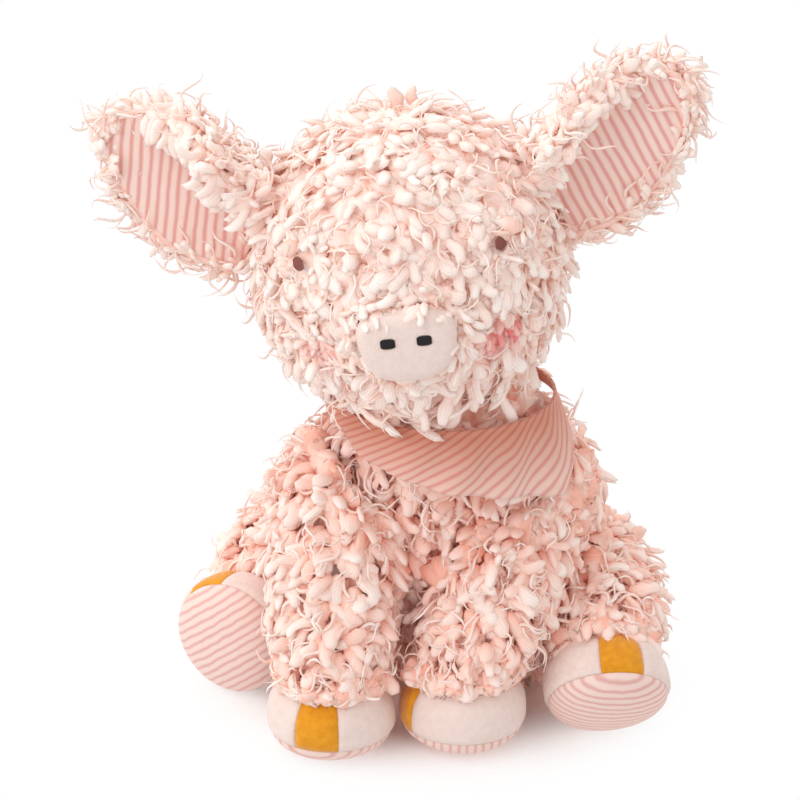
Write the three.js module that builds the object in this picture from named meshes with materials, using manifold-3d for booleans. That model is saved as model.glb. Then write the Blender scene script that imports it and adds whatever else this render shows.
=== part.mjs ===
// Seated plush pig: curly fur over fibre stuffing, striped velour ears and soles, velvet feet, a neckerchief.

import * as THREE from 'three';
import { mergeVertices } from 'three/addons/utils/BufferGeometryUtils.js';
import Module from 'manifold-3d';

const wasm = await Module();
wasm.setup();

// Lengths are in millimetres. The pig sits on the XY plane and faces -Y, so its own left side is +X.

// Cloths and clearances
const furWall = 5;
const velvetWall = 1.6;
const velourThickness = 1.2;
const stitchHeight = 0.9;
const seamGap = 0.3;
const cutOverrun = 6;
const floorFlat = 0.5;

// Torso
const torsoHeight = 119;
const torsoWidth = 104;
const torsoDepth = 78;
const neckRadius = 33;
const neckForward = 24;
const neckAside = 7;

// Pellet bag in the seat
const pelletBagWidth = 58;
const pelletBagDepth = 44;
const pelletBagHeight = 20;

// Head
const headWidth = 100;
const headDepth = 92;
const headHeight = 98;
const headForward = 34;
const headAside = 3;
const headLift = 157;
const headTurn = THREE.MathUtils.degToRad(7);
const headRoll = THREE.MathUtils.degToRad(-7);
const muzzleBulge = 5;
const muzzleDrop = 11;

// Snout pad, eyes and cheeks
const snoutWidth = 30;
const snoutHeight = 23;
const snoutThickness = 14;
const snoutTaper = 0.1;
const nostrilWidth = 5;
const nostrilHeight = 3.8;
const nostrilSpacing = 11;
const nostrilLift = 2.4;
const eyeDiameter = 5.6;
const eyeSpacing = 67;
const eyeLift = 13;
const eyeSunk = 3;
const cheekDiameter = 8;
const cheekSpacing = 63;
const cheekDrop = 14;
const cheekSunk = 1.8;

// Ears
const earLength = 58;
const earHalfWidth = 25;
const earThickness = 5;
const earSpacing = 92;
const earLift = 20;
const earRootDepth = 5;
const earFoldRadius = 5.5;
const earRiseLeft = THREE.MathUtils.degToRad(30);
const earRiseRight = THREE.MathUtils.degToRad(38);
const earFold = THREE.MathUtils.degToRad(150);
const earSwing = THREE.MathUtils.degToRad(15);
const liningMargin = 4.5;

// Legs: the hip or shoulder, the bend and the ankle of each are places along its middle line
const frontLegWidth = 42;
const hindLegWidth = 46;
const ankleWidth = 37;
const frontSwing = THREE.MathUtils.degToRad(25);
const hindSplay = THREE.MathUtils.degToRad(25);
const shoulderLift = 78;
const shoulderSpacing = 57;
const hipLift = 35;
const hipSpacing = 88;

// Feet
const footWidth = 41;
const footHeight = 27;
const wedgeHalfAngle = THREE.MathUtils.degToRad(21);

// Neckerchief
const kerchiefBand = 5;
const kerchiefDrop = 22;
const kerchiefThickness = 1.4;
const kerchiefFlare = 15.5;
const kerchiefFold = 1.6;
const kerchiefGapAngle = THREE.MathUtils.degToRad(2);
const knotWidth = 15;
const knotHeight = 12;
const knotDepth = 9;

// Tail
const tailLift = 30;
const tailThickness = 9;
const tailCurlRadius = 8;
const tailSwing = THREE.MathUtils.degToRad(25);

// Steps round each form
const bodySides = 18;
const coreSides = 10;
const limbSides = 14;
const footSides = 14;
const clothSteps = 32;

const X = new THREE.Vector3(1, 0, 0);
const Y = new THREE.Vector3(0, 1, 0);
const Z = new THREE.Vector3(0, 0, 1);

function cloth(color, roughness) {
  return new THREE.MeshStandardMaterial({ color, roughness, metalness: 0 });
}

const fur = cloth(0xf6cdbf, 0.95);
const paleVelvet = cloth(0xf5dcd6, 0.85);
const mustardVelvet = cloth(0xd9901c, 0.8);
const stripedVelour = cloth(0xe9b9ac, 0.85);
const blackThread = cloth(0x1c1a1a, 0.5);
const brownThread = cloth(0x8a5148, 0.5);
const pinkFelt = cloth(0xec8f8f, 0.9);
const fibre = cloth(0xf4f2ec, 1);
const calico = cloth(0xe6dcc4, 0.9);

// A closed body skinned over rings of points, each end closed on the middle of its ring.
function skinOver(rings) {
  const around = rings[0].length;
  const points = rings.flat();
  const middle = (ring) => ring.reduce((sum, p) => sum.add(p), new THREE.Vector3()).divideScalar(around);
  points.push(middle(rings[0]), middle(rings[rings.length - 1]));
  const index = [];
  for (let ring = 0; ring < rings.length - 1; ring += 1) {
    for (let side = 0; side < around; side += 1) {
      const next = (side + 1) % around;
      const a = ring * around + side;
      const b = ring * around + next;
      index.push(a, b, b + around, a, b + around, a + around);
    }
  }
  const last = (rings.length - 1) * around;
  for (let side = 0; side < around; side += 1) {
    const next = (side + 1) % around;
    index.push(points.length - 2, next, side);
    index.push(points.length - 1, last + side, last + next);
  }
  return new THREE.BufferGeometry().setFromPoints(points).setIndex(index);
}

// An oval of points about a centre; across and along are its two unit directions.
function oval(centre, across, along, halfAcross, halfAlong, sides) {
  return Array.from({ length: sides }, (_, side) => {
    const angle = (side / sides) * Math.PI * 2;
    return centre.clone()
      .addScaledVector(across, halfAcross * Math.cos(angle))
      .addScaledVector(along, halfAlong * Math.sin(angle));
  });
}

function solidOf(geometry) {
  const plain = new THREE.BufferGeometry();
  plain.setAttribute('position', geometry.getAttribute('position').clone());
  if (geometry.index) {
    plain.setIndex(geometry.index.clone());
  }
  const merged = mergeVertices(plain);
  const vertProperties = new Float32Array(merged.getAttribute('position').array);
  const triVerts = new Uint32Array(merged.index.array);
  return new wasm.Manifold(new wasm.Mesh({ numProp: 3, vertProperties, triVerts }));
}

// The solid of a mesh that may be wound either way
function facingOut(geometry) {
  const shape = solidOf(geometry);
  if (shape.volume() > 0) {
    return shape;
  }
  geometry.index.array.reverse();
  return solidOf(geometry);
}

function named(name, shape, material) {
  const { vertProperties, triVerts } = shape.getMesh();
  const geometry = new THREE.BufferGeometry();
  geometry.setAttribute('position', new THREE.BufferAttribute(new Float32Array(vertProperties), 3));
  geometry.setIndex(new THREE.BufferAttribute(new Uint32Array(triVerts), 1));
  geometry.computeVertexNormals();
  const mesh = new THREE.Mesh(geometry, material);
  mesh.name = name;
  return mesh;
}

function turnAbout(pivot, axis, angle) {
  const there = new THREE.Matrix4().makeTranslation(pivot);
  const back = new THREE.Matrix4().makeTranslation(pivot.clone().negate());
  return there.multiply(new THREE.Matrix4().makeRotationAxis(axis, angle)).multiply(back);
}

// Cuts a swinging piece by its carrier at every step of the swing, so that it stays clear of it all the way.
function clearOfSwing(shape, carrier, pivot, axis, from, to) {
  const steps = 2;
  let left = shape;
  for (let step = 0; step <= steps; step += 1) {
    const angle = THREE.MathUtils.lerp(from, to, step / steps);
    const turned = carrier.clone().applyMatrix4(turnAbout(pivot, axis, -angle));
    left = left.subtract(solidOf(turned));
  }
  return left;
}

// Torso: shares of height, of width, of depth and of how far the neck stands forward and aside
const torsoShares = [
  [0, 0.7, 0.62, 0, 0],
  [0.03, 0.82, 0.74, 0, 0],
  [0.12, 0.94, 0.87, 0, 0.12],
  [0.28, 1, 1, 0.14, 0.36],
  [0.45, 0.99, 0.99, 0.34, 0.62],
  [0.6, 0.94, 0.96, 0.6, 0.84],
  [0.72, 0.85, 0.9, 0.82, 0.96],
  [0.81, 0.75, 0.86, 0.95, 1],
];
// Neck: shares of torso height and of neck radius, round about the axis that the head turns on
const neckShares = [
  [0.915, 1],
  [0.955, 0.8],
  [1, 0.45],
];

function torsoGeometry(inset, sides, openNeck) {
  const rings = torsoShares.map(([up, wide, deep, forward, aside]) => {
    const height = Math.max(up * torsoHeight, inset);
    const centre = new THREE.Vector3(neckAside * aside, -neckForward * forward, height);
    return oval(centre, X, Y, (torsoWidth / 2) * wide - inset, (torsoDepth / 2) * deep - inset, sides);
  });
  neckShares.forEach(([up, wide]) => {
    const centre = new THREE.Vector3(neckAside, -neckForward, up * torsoHeight - Math.max(inset, 0) * wide);
    rings.push(oval(centre, X, Y, neckRadius * wide - inset, neckRadius * wide - inset, sides));
  });
  if (openNeck) {
    const radius = neckRadius * neckShares[2][1] - inset;
    const top = new THREE.Vector3(neckAside, -neckForward, openNeck);
    rings.push(oval(top, X, Y, radius, radius, sides));
  }
  return skinOver(rings);
}

// Neck cutter: the neck's round rings, grown so that its flats clear the torso's corners at every turn
function neckCutter() {
  const clear = (radius) => (radius + seamGap) / Math.cos(Math.PI / bodySides);
  const profile = [new THREE.Vector2(0, torsoHeight * neckShares[0][0] - cutOverrun)];
  profile.push(new THREE.Vector2(clear(neckRadius), torsoHeight * neckShares[0][0] - cutOverrun));
  neckShares.forEach(([up, wide]) => {
    profile.push(new THREE.Vector2(clear(neckRadius * wide), up * torsoHeight + seamGap));
  });
  profile.push(new THREE.Vector2(0, torsoHeight + seamGap));
  const geometry = new THREE.LatheGeometry(profile, bodySides);
  return geometry.rotateX(Math.PI / 2).translate(neckAside, -neckForward, 0);
}

const torsoOuter = solidOf(torsoGeometry(0, bodySides, 0));
const torsoCavity = solidOf(torsoGeometry(furWall, coreSides, torsoHeight + cutOverrun));
const torsoCore = solidOf(torsoGeometry(furWall + seamGap, coreSides, torsoHeight));

function pelletBagGeometry(grow) {
  const centre = new THREE.Vector3(0, 0, furWall + 2 * seamGap + pelletBagHeight / 2);
  const bag = new THREE.SphereGeometry(1, coreSides, coreSides / 2);
  bag.rotateX(Math.PI / 2);
  bag.scale(pelletBagWidth / 2 + grow, pelletBagDepth / 2 + grow, pelletBagHeight / 2 + grow);
  return bag.translate(centre.x, centre.y, centre.z);
}

// Bag pocket: the pocket in the stuffing is open downwards, where the bag lies on the seat cloth
function pelletPocket() {
  const pocket = solidOf(pelletBagGeometry(seamGap));
  const sunk = solidOf(pelletBagGeometry(seamGap).translate(0, 0, -pelletBagHeight / 2));
  return pocket.add(sunk);
}

// Head, in its own frame about its middle, facing -Y
const headGroup = new THREE.Group();
headGroup.position.set(-headAside, -headForward, headLift);
headGroup.rotation.set(0, headRoll, headTurn, 'ZYX');
headGroup.updateMatrixWorld();
const intoHead = headGroup.matrixWorld.clone().invert();

// Head form: an egg whose front swells into the muzzle, by a bell-shaped bulge about the muzzle's direction
function headGeometry(inset, columns, rows) {
  const ball = new THREE.SphereGeometry(1, columns, rows).rotateX(Math.PI / 2);
  const muzzle = new THREE.Vector3(0, -headDepth / 2, -muzzleDrop).normalize();
  const spread = 0.35;
  const place = ball.getAttribute('position');
  const point = new THREE.Vector3();
  for (let i = 0; i < place.count; i += 1) {
    point.fromBufferAttribute(place, i);
    const bulge = muzzleBulge * Math.exp(-(point.angleTo(muzzle) ** 2) / spread);
    const jowl = 1 + 0.04 * Math.max(0, -point.z) * Math.abs(point.x);
    const out = point.clone().multiplyScalar(bulge);
    point.set(
      point.x * (headWidth / 2 - inset) * jowl,
      point.y * (headDepth / 2 - inset),
      point.z * (headHeight / 2 - inset),
    ).add(out);
    place.setXYZ(i, point.x, point.y, point.z);
  }
  return ball;
}

// Where a line straight back from the front meets the head, for seating the face
function faceDepth(aside, up) {
  const share = 1 - (2 * aside / headWidth) ** 2 - (2 * up / headHeight) ** 2;
  return (headDepth / 2) * Math.sqrt(Math.max(share, 0));
}

// The pad's front stands clear of the muzzle by a share of the head's depth
const snoutReachShare = 0.587;
const snoutReach = headDepth * snoutReachShare;

function snoutGeometry(grow) {
  const flat = 0.72;
  const square = 2.6;
  const half = snoutThickness / 2;
  const profile = [
    new THREE.Vector2(0, -half - grow),
    new THREE.Vector2(1, -half - grow),
    new THREE.Vector2(1, half * 0.45),
    new THREE.Vector2(0.93, half * 0.8 + grow * flat),
    new THREE.Vector2(flat, half * 0.96 + grow),
    new THREE.Vector2(0, half + grow),
  ];
  const pad = new THREE.LatheGeometry(profile, bodySides);
  const place = pad.getAttribute('position');
  for (let i = 0; i < place.count; i += 1) {
    const aside = place.getX(i);
    const up = place.getZ(i);
    const round = Math.hypot(aside, up) || 1;
    const corner = (Math.abs(aside) / round) ** square + (Math.abs(up) / round) ** square || 1;
    const reach = corner ** (-1 / square);
    place.setX(i, aside * reach * (1 + snoutTaper * up));
    place.setZ(i, up * reach);
  }
  pad.scale(snoutWidth / 2 + grow, 1, snoutHeight / 2 + grow);
  pad.rotateZ(Math.PI);
  return pad.translate(0, half - snoutReach, -muzzleDrop);
}

// A short round bar through the face, its axis along -Y turned to the face's slope at that place
function faceBar(aside, up, radius, from, to, sides) {
  const depth = faceDepth(aside, up);
  const place = new THREE.Vector3(aside, -depth, up);
  const out = new THREE.Vector3(
    place.x / (headWidth / 2) ** 2,
    place.y / (headDepth / 2) ** 2,
    place.z / (headHeight / 2) ** 2,
  ).normalize();
  const bar = new THREE.CylinderGeometry(radius, radius, to - from, sides);
  bar.applyQuaternion(new THREE.Quaternion().setFromUnitVectors(Y, out));
  const middle = place.addScaledVector(out, (from + to) / 2);
  return bar.translate(middle.x, middle.y, middle.z);
}

const headOuter = solidOf(headGeometry(0, 20, 14));
const neckInHead = neckCutter().applyMatrix4(intoHead);
const headCavity = solidOf(headGeometry(furWall, coreSides, 8));
const snoutPocket = solidOf(snoutGeometry(seamGap));

// Eyes and cheeks: each is a disc at the bottom of its own dimple in the pile
const spotSides = 12;
const faceSpots = [
  ['eye', eyeSpacing / 2, eyeLift, eyeDiameter / 2, eyeSunk, brownThread],
  ['cheek', cheekSpacing / 2, -cheekDrop, cheekDiameter / 2, cheekSunk, pinkFelt],
].flatMap(([name, aside, up, radius, sunk, material]) => [
  { name: `${name}_left`, aside, up, radius, sunk, material },
  { name: `${name}_right`, aside: -aside, up, radius, sunk, material },
]);

let headSkin = headOuter.subtract(headCavity).subtract(solidOf(neckInHead)).subtract(snoutPocket);
faceSpots.forEach(({ aside, up, radius, sunk }) => {
  const dimple = faceBar(aside, up, radius + seamGap, -sunk - stitchHeight - seamGap, cutOverrun, spotSides);
  headSkin = headSkin.subtract(solidOf(dimple));
});
const headCore = solidOf(headGeometry(furWall + seamGap, coreSides, 8))
  .subtract(solidOf(neckInHead))
  .subtract(solidOf(snoutGeometry(2 * seamGap)));
headGroup.add(named('head_skin', headSkin, fur), named('head_stuffing', headCore, fibre));
faceSpots.forEach(({ name, aside, up, radius, sunk, material }) => {
  const disc = solidOf(faceBar(aside, up, radius, -sunk - stitchHeight, -sunk, spotSides));
  headGroup.add(named(name, disc, material));
});
const snoutPad = solidOf(snoutGeometry(0));
headGroup.add(named('snout_pad', snoutPad, paleVelvet));

// Nostrils: satin-stitched bars that follow the pad's domed front
[['nostril_left', 1], ['nostril_right', -1]].forEach(([name, side]) => {
  const bar = new THREE.SphereGeometry(1, spotSides, 6);
  bar.scale(nostrilWidth / 2, snoutThickness, nostrilHeight / 2);
  bar.translate(side * nostrilSpacing / 2, -snoutReach, nostrilLift - muzzleDrop);
  const raised = solidOf(snoutGeometry(seamGap + stitchHeight)).subtract(snoutPocket);
  headGroup.add(named(name, raised.intersect(solidOf(bar)), blackThread));
});

// Ear outline: shares of half width at shares of length
const earWidthShares = [
  [0, 0.86],
  [0.18, 0.96],
  [0.38, 1],
  [0.56, 0.88],
  [0.72, 0.69],
  [0.86, 0.47],
  [0.96, 0.26],
  [1, 0.1],
];

// A point of the ear cloth: out along the ear, across it, and up from the cloth's front face. The upper part
// of each cross-section rolls forward round the fold, by an angle that fades towards the tip.
function earPoint(outShare, halfWidth, across, lift) {
  const fold = earFold * Math.max(0, 1 - outShare / 0.8) ** 0.8;
  const foldStart = earHalfWidth * 0.2;
  const cup = 0.12 * earHalfWidth;
  const run = across * halfWidth;
  const bend = Math.max(fold, 0.001) * earFoldRadius;
  const past = Math.min(Math.max(run - foldStart, 0), bend);
  const angle = past / earFoldRadius;
  const beyond = Math.max(run - foldStart - bend, 0);
  const flat = Math.min(run, foldStart);
  const along = flat + earFoldRadius * Math.sin(angle) + beyond * Math.cos(angle);
  const forward = earFoldRadius * (1 - Math.cos(angle)) + beyond * Math.sin(angle);
  const dish = cup * (run / earHalfWidth) ** 2 * (angle > 0 ? 0 : 1);
  return new THREE.Vector3(
    outShare * earLength,
    -forward - dish - lift * Math.cos(angle),
    along - lift * Math.sin(angle),
  );
}

// A cloth of the ear between two lifts above the front face, closed round its edge
function earCloth(from, to, margin, reach) {
  const stepsAcross = [-1, -0.75, -0.35, 0.05, 0.2, 0.31, 0.42, 0.53, 0.64, 0.76, 0.88, 1];
  const rings = earWidthShares.map(([outShare, wide]) => {
    const along = outShare * reach;
    const half = Math.max(earHalfWidth * wide - margin * (1 - 0.6 * outShare), margin * 0.2);
    const front = stepsAcross.map((across) => earPoint(along, half, across, to));
    const back = stepsAcross.map((across) => earPoint(along, half, across, from)).reverse();
    return [...front, ...back];
  });
  return skinOver(rings);
}

const headInSwing = headGeometry(-seamGap, 20, 14);

[['left', 1, earRiseLeft], ['right', -1, earRiseRight]].forEach(([side, sign, earRise]) => {
  const root = new THREE.Vector3(sign * earSpacing / 2, 0, earLift);
  const place = new THREE.Matrix4().makeTranslation(root);
  const rise = new THREE.Matrix4().makeRotationY(-earRise);
  const inward = new THREE.Matrix4().makeTranslation(new THREE.Vector3(-earRootDepth, 0, 0));
  const onHead = new THREE.Matrix4().multiply(place);
  if (sign < 0) {
    onHead.multiply(new THREE.Matrix4().makeScale(-1, 1, 1));
  }
  onHead.multiply(rise).multiply(inward);
  const axis = new THREE.Vector3(-Math.sin(earRise) * sign, 0, Math.cos(earRise));
  const seat = (geometry) => {
    const piece = facingOut(geometry.applyMatrix4(onHead));
    return clearOfSwing(piece, headInSwing, root, axis, -earSwing, earSwing);
  };
  const pocket = earCloth(-1.6 * seamGap, velourThickness, liningMargin - seamGap, 0.94);
  pocket.applyMatrix4(onHead);
  const back = seat(earCloth(-earThickness, 0, 0, 1)).subtract(facingOut(pocket));
  headGroup.add(
    named(`ear_back_${side}`, back, fur),
    named(`ear_lining_${side}`, seat(earCloth(0, velourThickness, liningMargin, 0.93)), stripedVelour),
  );
});

// Legs: shares of the leg's half width along its middle line, from the shoulder or hip to the ankle
const legShares = [
  [0, 1],
  [0.35, 1.02],
  [0.7, 0.97],
];
const capShares = [0.2, 0.55, 0.87];
const legs = [
  {
    name: 'front_leg_left',
    width: frontLegWidth,
    top: [shoulderSpacing * 0.57, -torsoDepth * 0.33, shoulderLift],
    bend: [shoulderSpacing * 0.5, -torsoDepth * 0.53, shoulderLift * 0.6],
    foot: [shoulderSpacing * 0.32, -torsoDepth * 0.715],
    sole: [0, 0, -1],
    toe: [-0.93, -0.37, 0],
    axis: [-0.91, -0.42, 0],
    swing: [0, frontSwing],
  },
  {
    name: 'front_leg_right',
    width: frontLegWidth,
    top: [-shoulderSpacing * 0.43, -torsoDepth * 0.48, shoulderLift],
    bend: [-shoulderSpacing * 0.43, -torsoDepth * 0.72, shoulderLift * 0.6],
    foot: [-shoulderSpacing * 0.4, -torsoDepth * 0.86],
    sole: [0, 0, -1],
    toe: [-0.07, -1, 0],
    axis: [-0.97, 0.24, 0],
    swing: [0, frontSwing],
  },
  {
    name: 'hind_leg_left',
    width: hindLegWidth,
    top: [hipSpacing * 0.52, torsoDepth * 0.05, hipLift],
    bend: [hipSpacing * 0.67, -torsoDepth * 0.19, hipLift * 0.9],
    foot: [hipSpacing * 0.72, -torsoDepth * 0.58],
    sole: [0.19, -0.75, -0.63],
    toe: [0.3, -0.55, 0.78],
    axis: [0, 0, 1],
    swing: [0, hindSplay],
  },
  {
    name: 'hind_leg_right',
    width: hindLegWidth,
    top: [-hipSpacing / 2, torsoDepth * 0.06, hipLift],
    bend: [-hipSpacing * 0.58, -torsoDepth * 0.12, hipLift * 0.85],
    foot: [-hipSpacing * 0.69, -torsoDepth * 0.38],
    sole: [-0.32, -0.95, -0.05],
    toe: [-0.5, 0, 0.86],
    axis: [0, 0, -1],
    swing: [0, hindSplay],
  },
];

// The foot's middle stands so that its lowest edge sinks by the floor flat
function footFrame(leg) {
  const down = new THREE.Vector3(...leg.sole).normalize();
  const toe = new THREE.Vector3(...leg.toe);
  toe.addScaledVector(down, -toe.dot(down)).normalize();
  const side = new THREE.Vector3().crossVectors(down, toe);
  const frame = { down, toe, side, centre: new THREE.Vector3() };
  const lowest = Math.min(...footRows(frame, 0, footSides).flat().map((p) => p.z));
  frame.centre.set(leg.foot[0], leg.foot[1], -floorFlat - lowest);
  return frame;
}

// Foot: shares of its height, from the ankle down, and of its half width; the sole seam is one of the rows
const footShares = [
  [0, 0.4],
  [0.1, 0.72],
  [0.3, 0.94],
  [0.52, 1],
  [0.7, 0.97],
  [0.87, 0.77],
  [0.97, 0.42],
  [1, 0.1],
];
const soleSeamShare = 0.7;

function footRows(frame, inset, sides) {
  return footShares.map(([low, wide]) => {
    const depth = (low - 0.5) * (footHeight - 2 * inset);
    const radius = Math.max((footWidth / 2) * wide - inset, velvetWall / 4);
    const centre = frame.centre.clone().addScaledVector(frame.down, depth);
    return oval(centre, frame.toe, frame.side, radius, radius, sides);
  });
}

// Leg form: a round top, then ovals along a smooth middle line that turn to the foot's own direction
function legGeometry(leg, frame, inset, sides) {
  const top = new THREE.Vector3(...leg.top);
  const bend = new THREE.Vector3(...leg.bend);
  const ankle = frame.centre.clone().addScaledVector(frame.down, -footHeight * 0.4);
  const line = new THREE.QuadraticBezierCurve3(top, bend, ankle);
  const start = line.getTangent(0);
  const radius = leg.width / 2 - inset;
  const ring = (centre, turned, wide) => {
    const along = start.clone().lerp(frame.down, turned).normalize();
    const across = new THREE.Vector3().crossVectors(along, X).normalize();
    return oval(centre, across, new THREE.Vector3().crossVectors(along, across), wide, wide, sides);
  };
  const rings = capShares.map((share) => {
    const back = Math.sqrt(1 - share * share) * radius;
    return ring(top.clone().addScaledVector(start, -back), 0, radius * share);
  });
  legShares.forEach(([along, wide]) => {
    rings.push(ring(line.getPoint(along), along, radius * wide));
  });
  rings.push(ring(ankle, 1, ankleWidth / 2 - inset));
  return skinOver(rings);
}

function floorBox() {
  const box = new THREE.BoxGeometry(6 * torsoWidth, 6 * torsoWidth, torsoHeight);
  return box.translate(0, 0, -torsoHeight / 2);
}

// Everything of the foot that lies past its sole seam
function pastSeam(frame, clearance) {
  const slab = new THREE.BoxGeometry(2 * footWidth, 2 * footWidth, footHeight);
  slab.applyQuaternion(new THREE.Quaternion().setFromUnitVectors(Z, frame.down));
  const reach = soleSeamShare * footHeight + clearance;
  const middle = frame.centre.clone().addScaledVector(frame.down, reach);
  return solidOf(slab.translate(middle.x, middle.y, middle.z));
}

// The toe wedge's sector of the foot, from its axis out past its edge
function toeSector(frame, clearance) {
  const reach = footWidth;
  const half = Math.tan(wedgeHalfAngle) * reach;
  const outline = new THREE.Shape([
    new THREE.Vector2(footWidth * 0.2, -half * 0.2 - clearance),
    new THREE.Vector2(reach, -half - clearance),
    new THREE.Vector2(reach, half + clearance),
    new THREE.Vector2(footWidth * 0.2, half * 0.2 + clearance),
  ]);
  const depth = 2 * footHeight;
  const sector = new THREE.ExtrudeGeometry(outline, { depth, bevelEnabled: false });
  sector.translate(0, 0, -depth / 2);
  const place = new THREE.Matrix4().makeBasis(frame.toe, frame.side.clone().negate(), frame.down);
  if (place.determinant() < 0) {
    place.makeBasis(frame.toe, frame.side, frame.down);
  }
  sector.applyMatrix4(place.setPosition(frame.centre));
  return solidOf(sector);
}

const torsoInSwing = torsoGeometry(-seamGap, bodySides, 0);
const floor = solidOf(floorBox());

// A hind leg is cut clear of the front leg of its own side, wherever that one swings to.
function clearOfFrontLegs(shape, leg) {
  if (leg.width === frontLegWidth) {
    return shape;
  }
  const front = legs.find(({ width, top }) => width === frontLegWidth && top[0] * leg.top[0] > 0);
  const form = legGeometry(front, footFrame(front), -seamGap, limbSides);
  const pivot = new THREE.Vector3(...front.top);
  const axis = new THREE.Vector3(...front.axis).normalize().negate();
  return clearOfSwing(shape, form, pivot, axis, ...front.swing);
}

function legMeshes(leg) {
  const frame = footFrame(leg);
  const foot = (inset, sides) => facingOut(skinOver(footRows(frame, inset, sides)));
  const footOuter = foot(0, footSides);
  const footInner = foot(velvetWall, coreSides);
  const footCore = foot(velvetWall + seamGap, coreSides);
  const legOuter = facingOut(legGeometry(leg, frame, 0, limbSides));
  const legInner = facingOut(legGeometry(leg, frame, furWall, coreSides));
  const legCore = facingOut(legGeometry(leg, frame, furWall + seamGap, coreSides));
  const pivot = new THREE.Vector3(...leg.top);
  const axis = new THREE.Vector3(...leg.axis).normalize();
  const seat = (shape) => {
    const clear = clearOfSwing(shape, torsoInSwing, pivot, axis, ...leg.swing).subtract(floor);
    return clearOfFrontLegs(clear, leg);
  };
  const skin = seat(legOuter.subtract(legInner).subtract(foot(-seamGap, footSides)));
  const core = seat(legCore.add(footCore));
  const shell = footOuter.subtract(footInner).subtract(legInner).subtract(floor);
  const aboveSeam = shell.subtract(pastSeam(frame, 0));
  const upper = aboveSeam.subtract(toeSector(frame, seamGap / 2));
  const wedge = aboveSeam.intersect(toeSector(frame, -seamGap / 2));
  const sole = shell.intersect(pastSeam(frame, seamGap));
  return [
    named(`${leg.name}_skin`, skin, fur),
    named(`${leg.name}_stuffing`, core, fibre),
    named(`${leg.name}_foot_upper`, upper, paleVelvet),
    named(`${leg.name}_toe_wedge`, wedge, mustardVelvet),
    named(`${leg.name}_sole`, sole, stripedVelour),
  ];
}

// Neckerchief: how far the hem hangs, as shares of the drop, at angles round the neck from the front, in
// shares of a half turn; its point lies over the pig's left shoulder
const hemShares = [
  [-1, 0],
  [-0.5, 0],
  [-0.26, 0],
  [-0.17, 0.3],
  [-0.04, 0.54],
  [0.1, 0.7],
  [0.22, 0.86],
  [0.31, 1],
  [0.38, 0.66],
  [0.45, 0.32],
  [0.54, 0],
  [0.75, 0],
  [1, 0],
];

function hemAt(turn) {
  const next = Math.max(1, hemShares.findIndex(([at]) => at >= turn));
  const [fromTurn, fromHem] = hemShares[next - 1];
  const [toTurn, toHem] = hemShares[next];
  return THREE.MathUtils.mapLinear(turn, fromTurn, toTurn, fromHem, toHem);
}

// The band lies snug round the widest ring of the neck
const kerchiefTop = torsoHeight * neckShares[0][0];
const kerchiefRadius = (neckRadius + seamGap) / Math.cos(Math.PI / bodySides);

function kerchiefPoint(turnShare, hem, downShare, lift) {
  const halfTurn = Math.PI - kerchiefGapAngle;
  const angle = THREE.MathUtils.clamp(turnShare * Math.PI, -halfTurn, halfTurn);
  const drop = kerchiefBand + (kerchiefDrop - kerchiefBand) * hem;
  const down = drop * downShare;
  const fold = kerchiefFold * Math.sin(turnShare * Math.PI * 6) * (down / kerchiefDrop);
  const radius = kerchiefRadius + kerchiefFlare * (down / kerchiefDrop) ** 1.3 + fold + lift;
  return new THREE.Vector3(
    neckAside + radius * Math.sin(angle),
    -neckForward - radius * Math.cos(angle),
    kerchiefTop - down,
  );
}

function kerchiefGeometry(from, to) {
  const rows = [0, 0.25, 0.5, 0.75, 1];
  const section = (turn, hem) => [
    ...rows.map((row) => kerchiefPoint(turn, hem, row, to)),
    ...rows.map((row) => kerchiefPoint(turn, hem, row, from)).reverse(),
  ];
  const rings = Array.from({ length: clothSteps + 1 }, (_, step) => {
    const turn = (2 * step) / clothSteps - 1;
    return section(turn, hemAt(turn));
  });
  return skinOver(rings);
}

// Knot: a soft ball of cloth behind the neck that closes over the band's two ends
function knotSolid() {
  const knot = new THREE.SphereGeometry(1, 12, 8).scale(knotWidth / 2, knotDepth / 2, knotHeight / 2);
  const behind = kerchiefPoint(1, 0, 0.5, kerchiefThickness + knotDepth / 4);
  knot.translate(neckAside, behind.y, behind.z);
  return solidOf(knot).subtract(facingOut(kerchiefGeometry(-knotDepth, kerchiefThickness + seamGap)));
}

// Tail: a tapered cord of velvet that curls once round on its way out
function tailGeometry() {
  const start = new THREE.Vector3(0, torsoDepth / 2 - cutOverrun, tailLift);
  const turns = 1.25;
  const steps = 16;
  const rings = [];
  const middle = (share) => {
    const angle = share * turns * Math.PI * 2;
    const grow = tailCurlRadius * Math.min(1, share * 3);
    return new THREE.Vector3(
      grow * Math.sin(angle),
      start.y + share * (cutOverrun + 2.4 * tailThickness),
      start.z + grow * (1 - Math.cos(angle)),
    );
  };
  for (let step = 0; step <= steps; step += 1) {
    const share = step / steps;
    const along = middle(share + 0.01).sub(middle(share - 0.01)).normalize();
    const first = new THREE.Vector3().crossVectors(along, X).normalize();
    const second = new THREE.Vector3().crossVectors(along, first);
    const radius = (tailThickness / 2) * (1 - 0.55 * share);
    rings.push(oval(middle(share), first, second, radius, radius, 8));
  }
  return skinOver(rings);
}

const tailPivot = new THREE.Vector3(0, torsoDepth / 2, tailLift);
const tail = clearOfSwing(facingOut(tailGeometry()), torsoInSwing, tailPivot, Z, -tailSwing, tailSwing);

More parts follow.
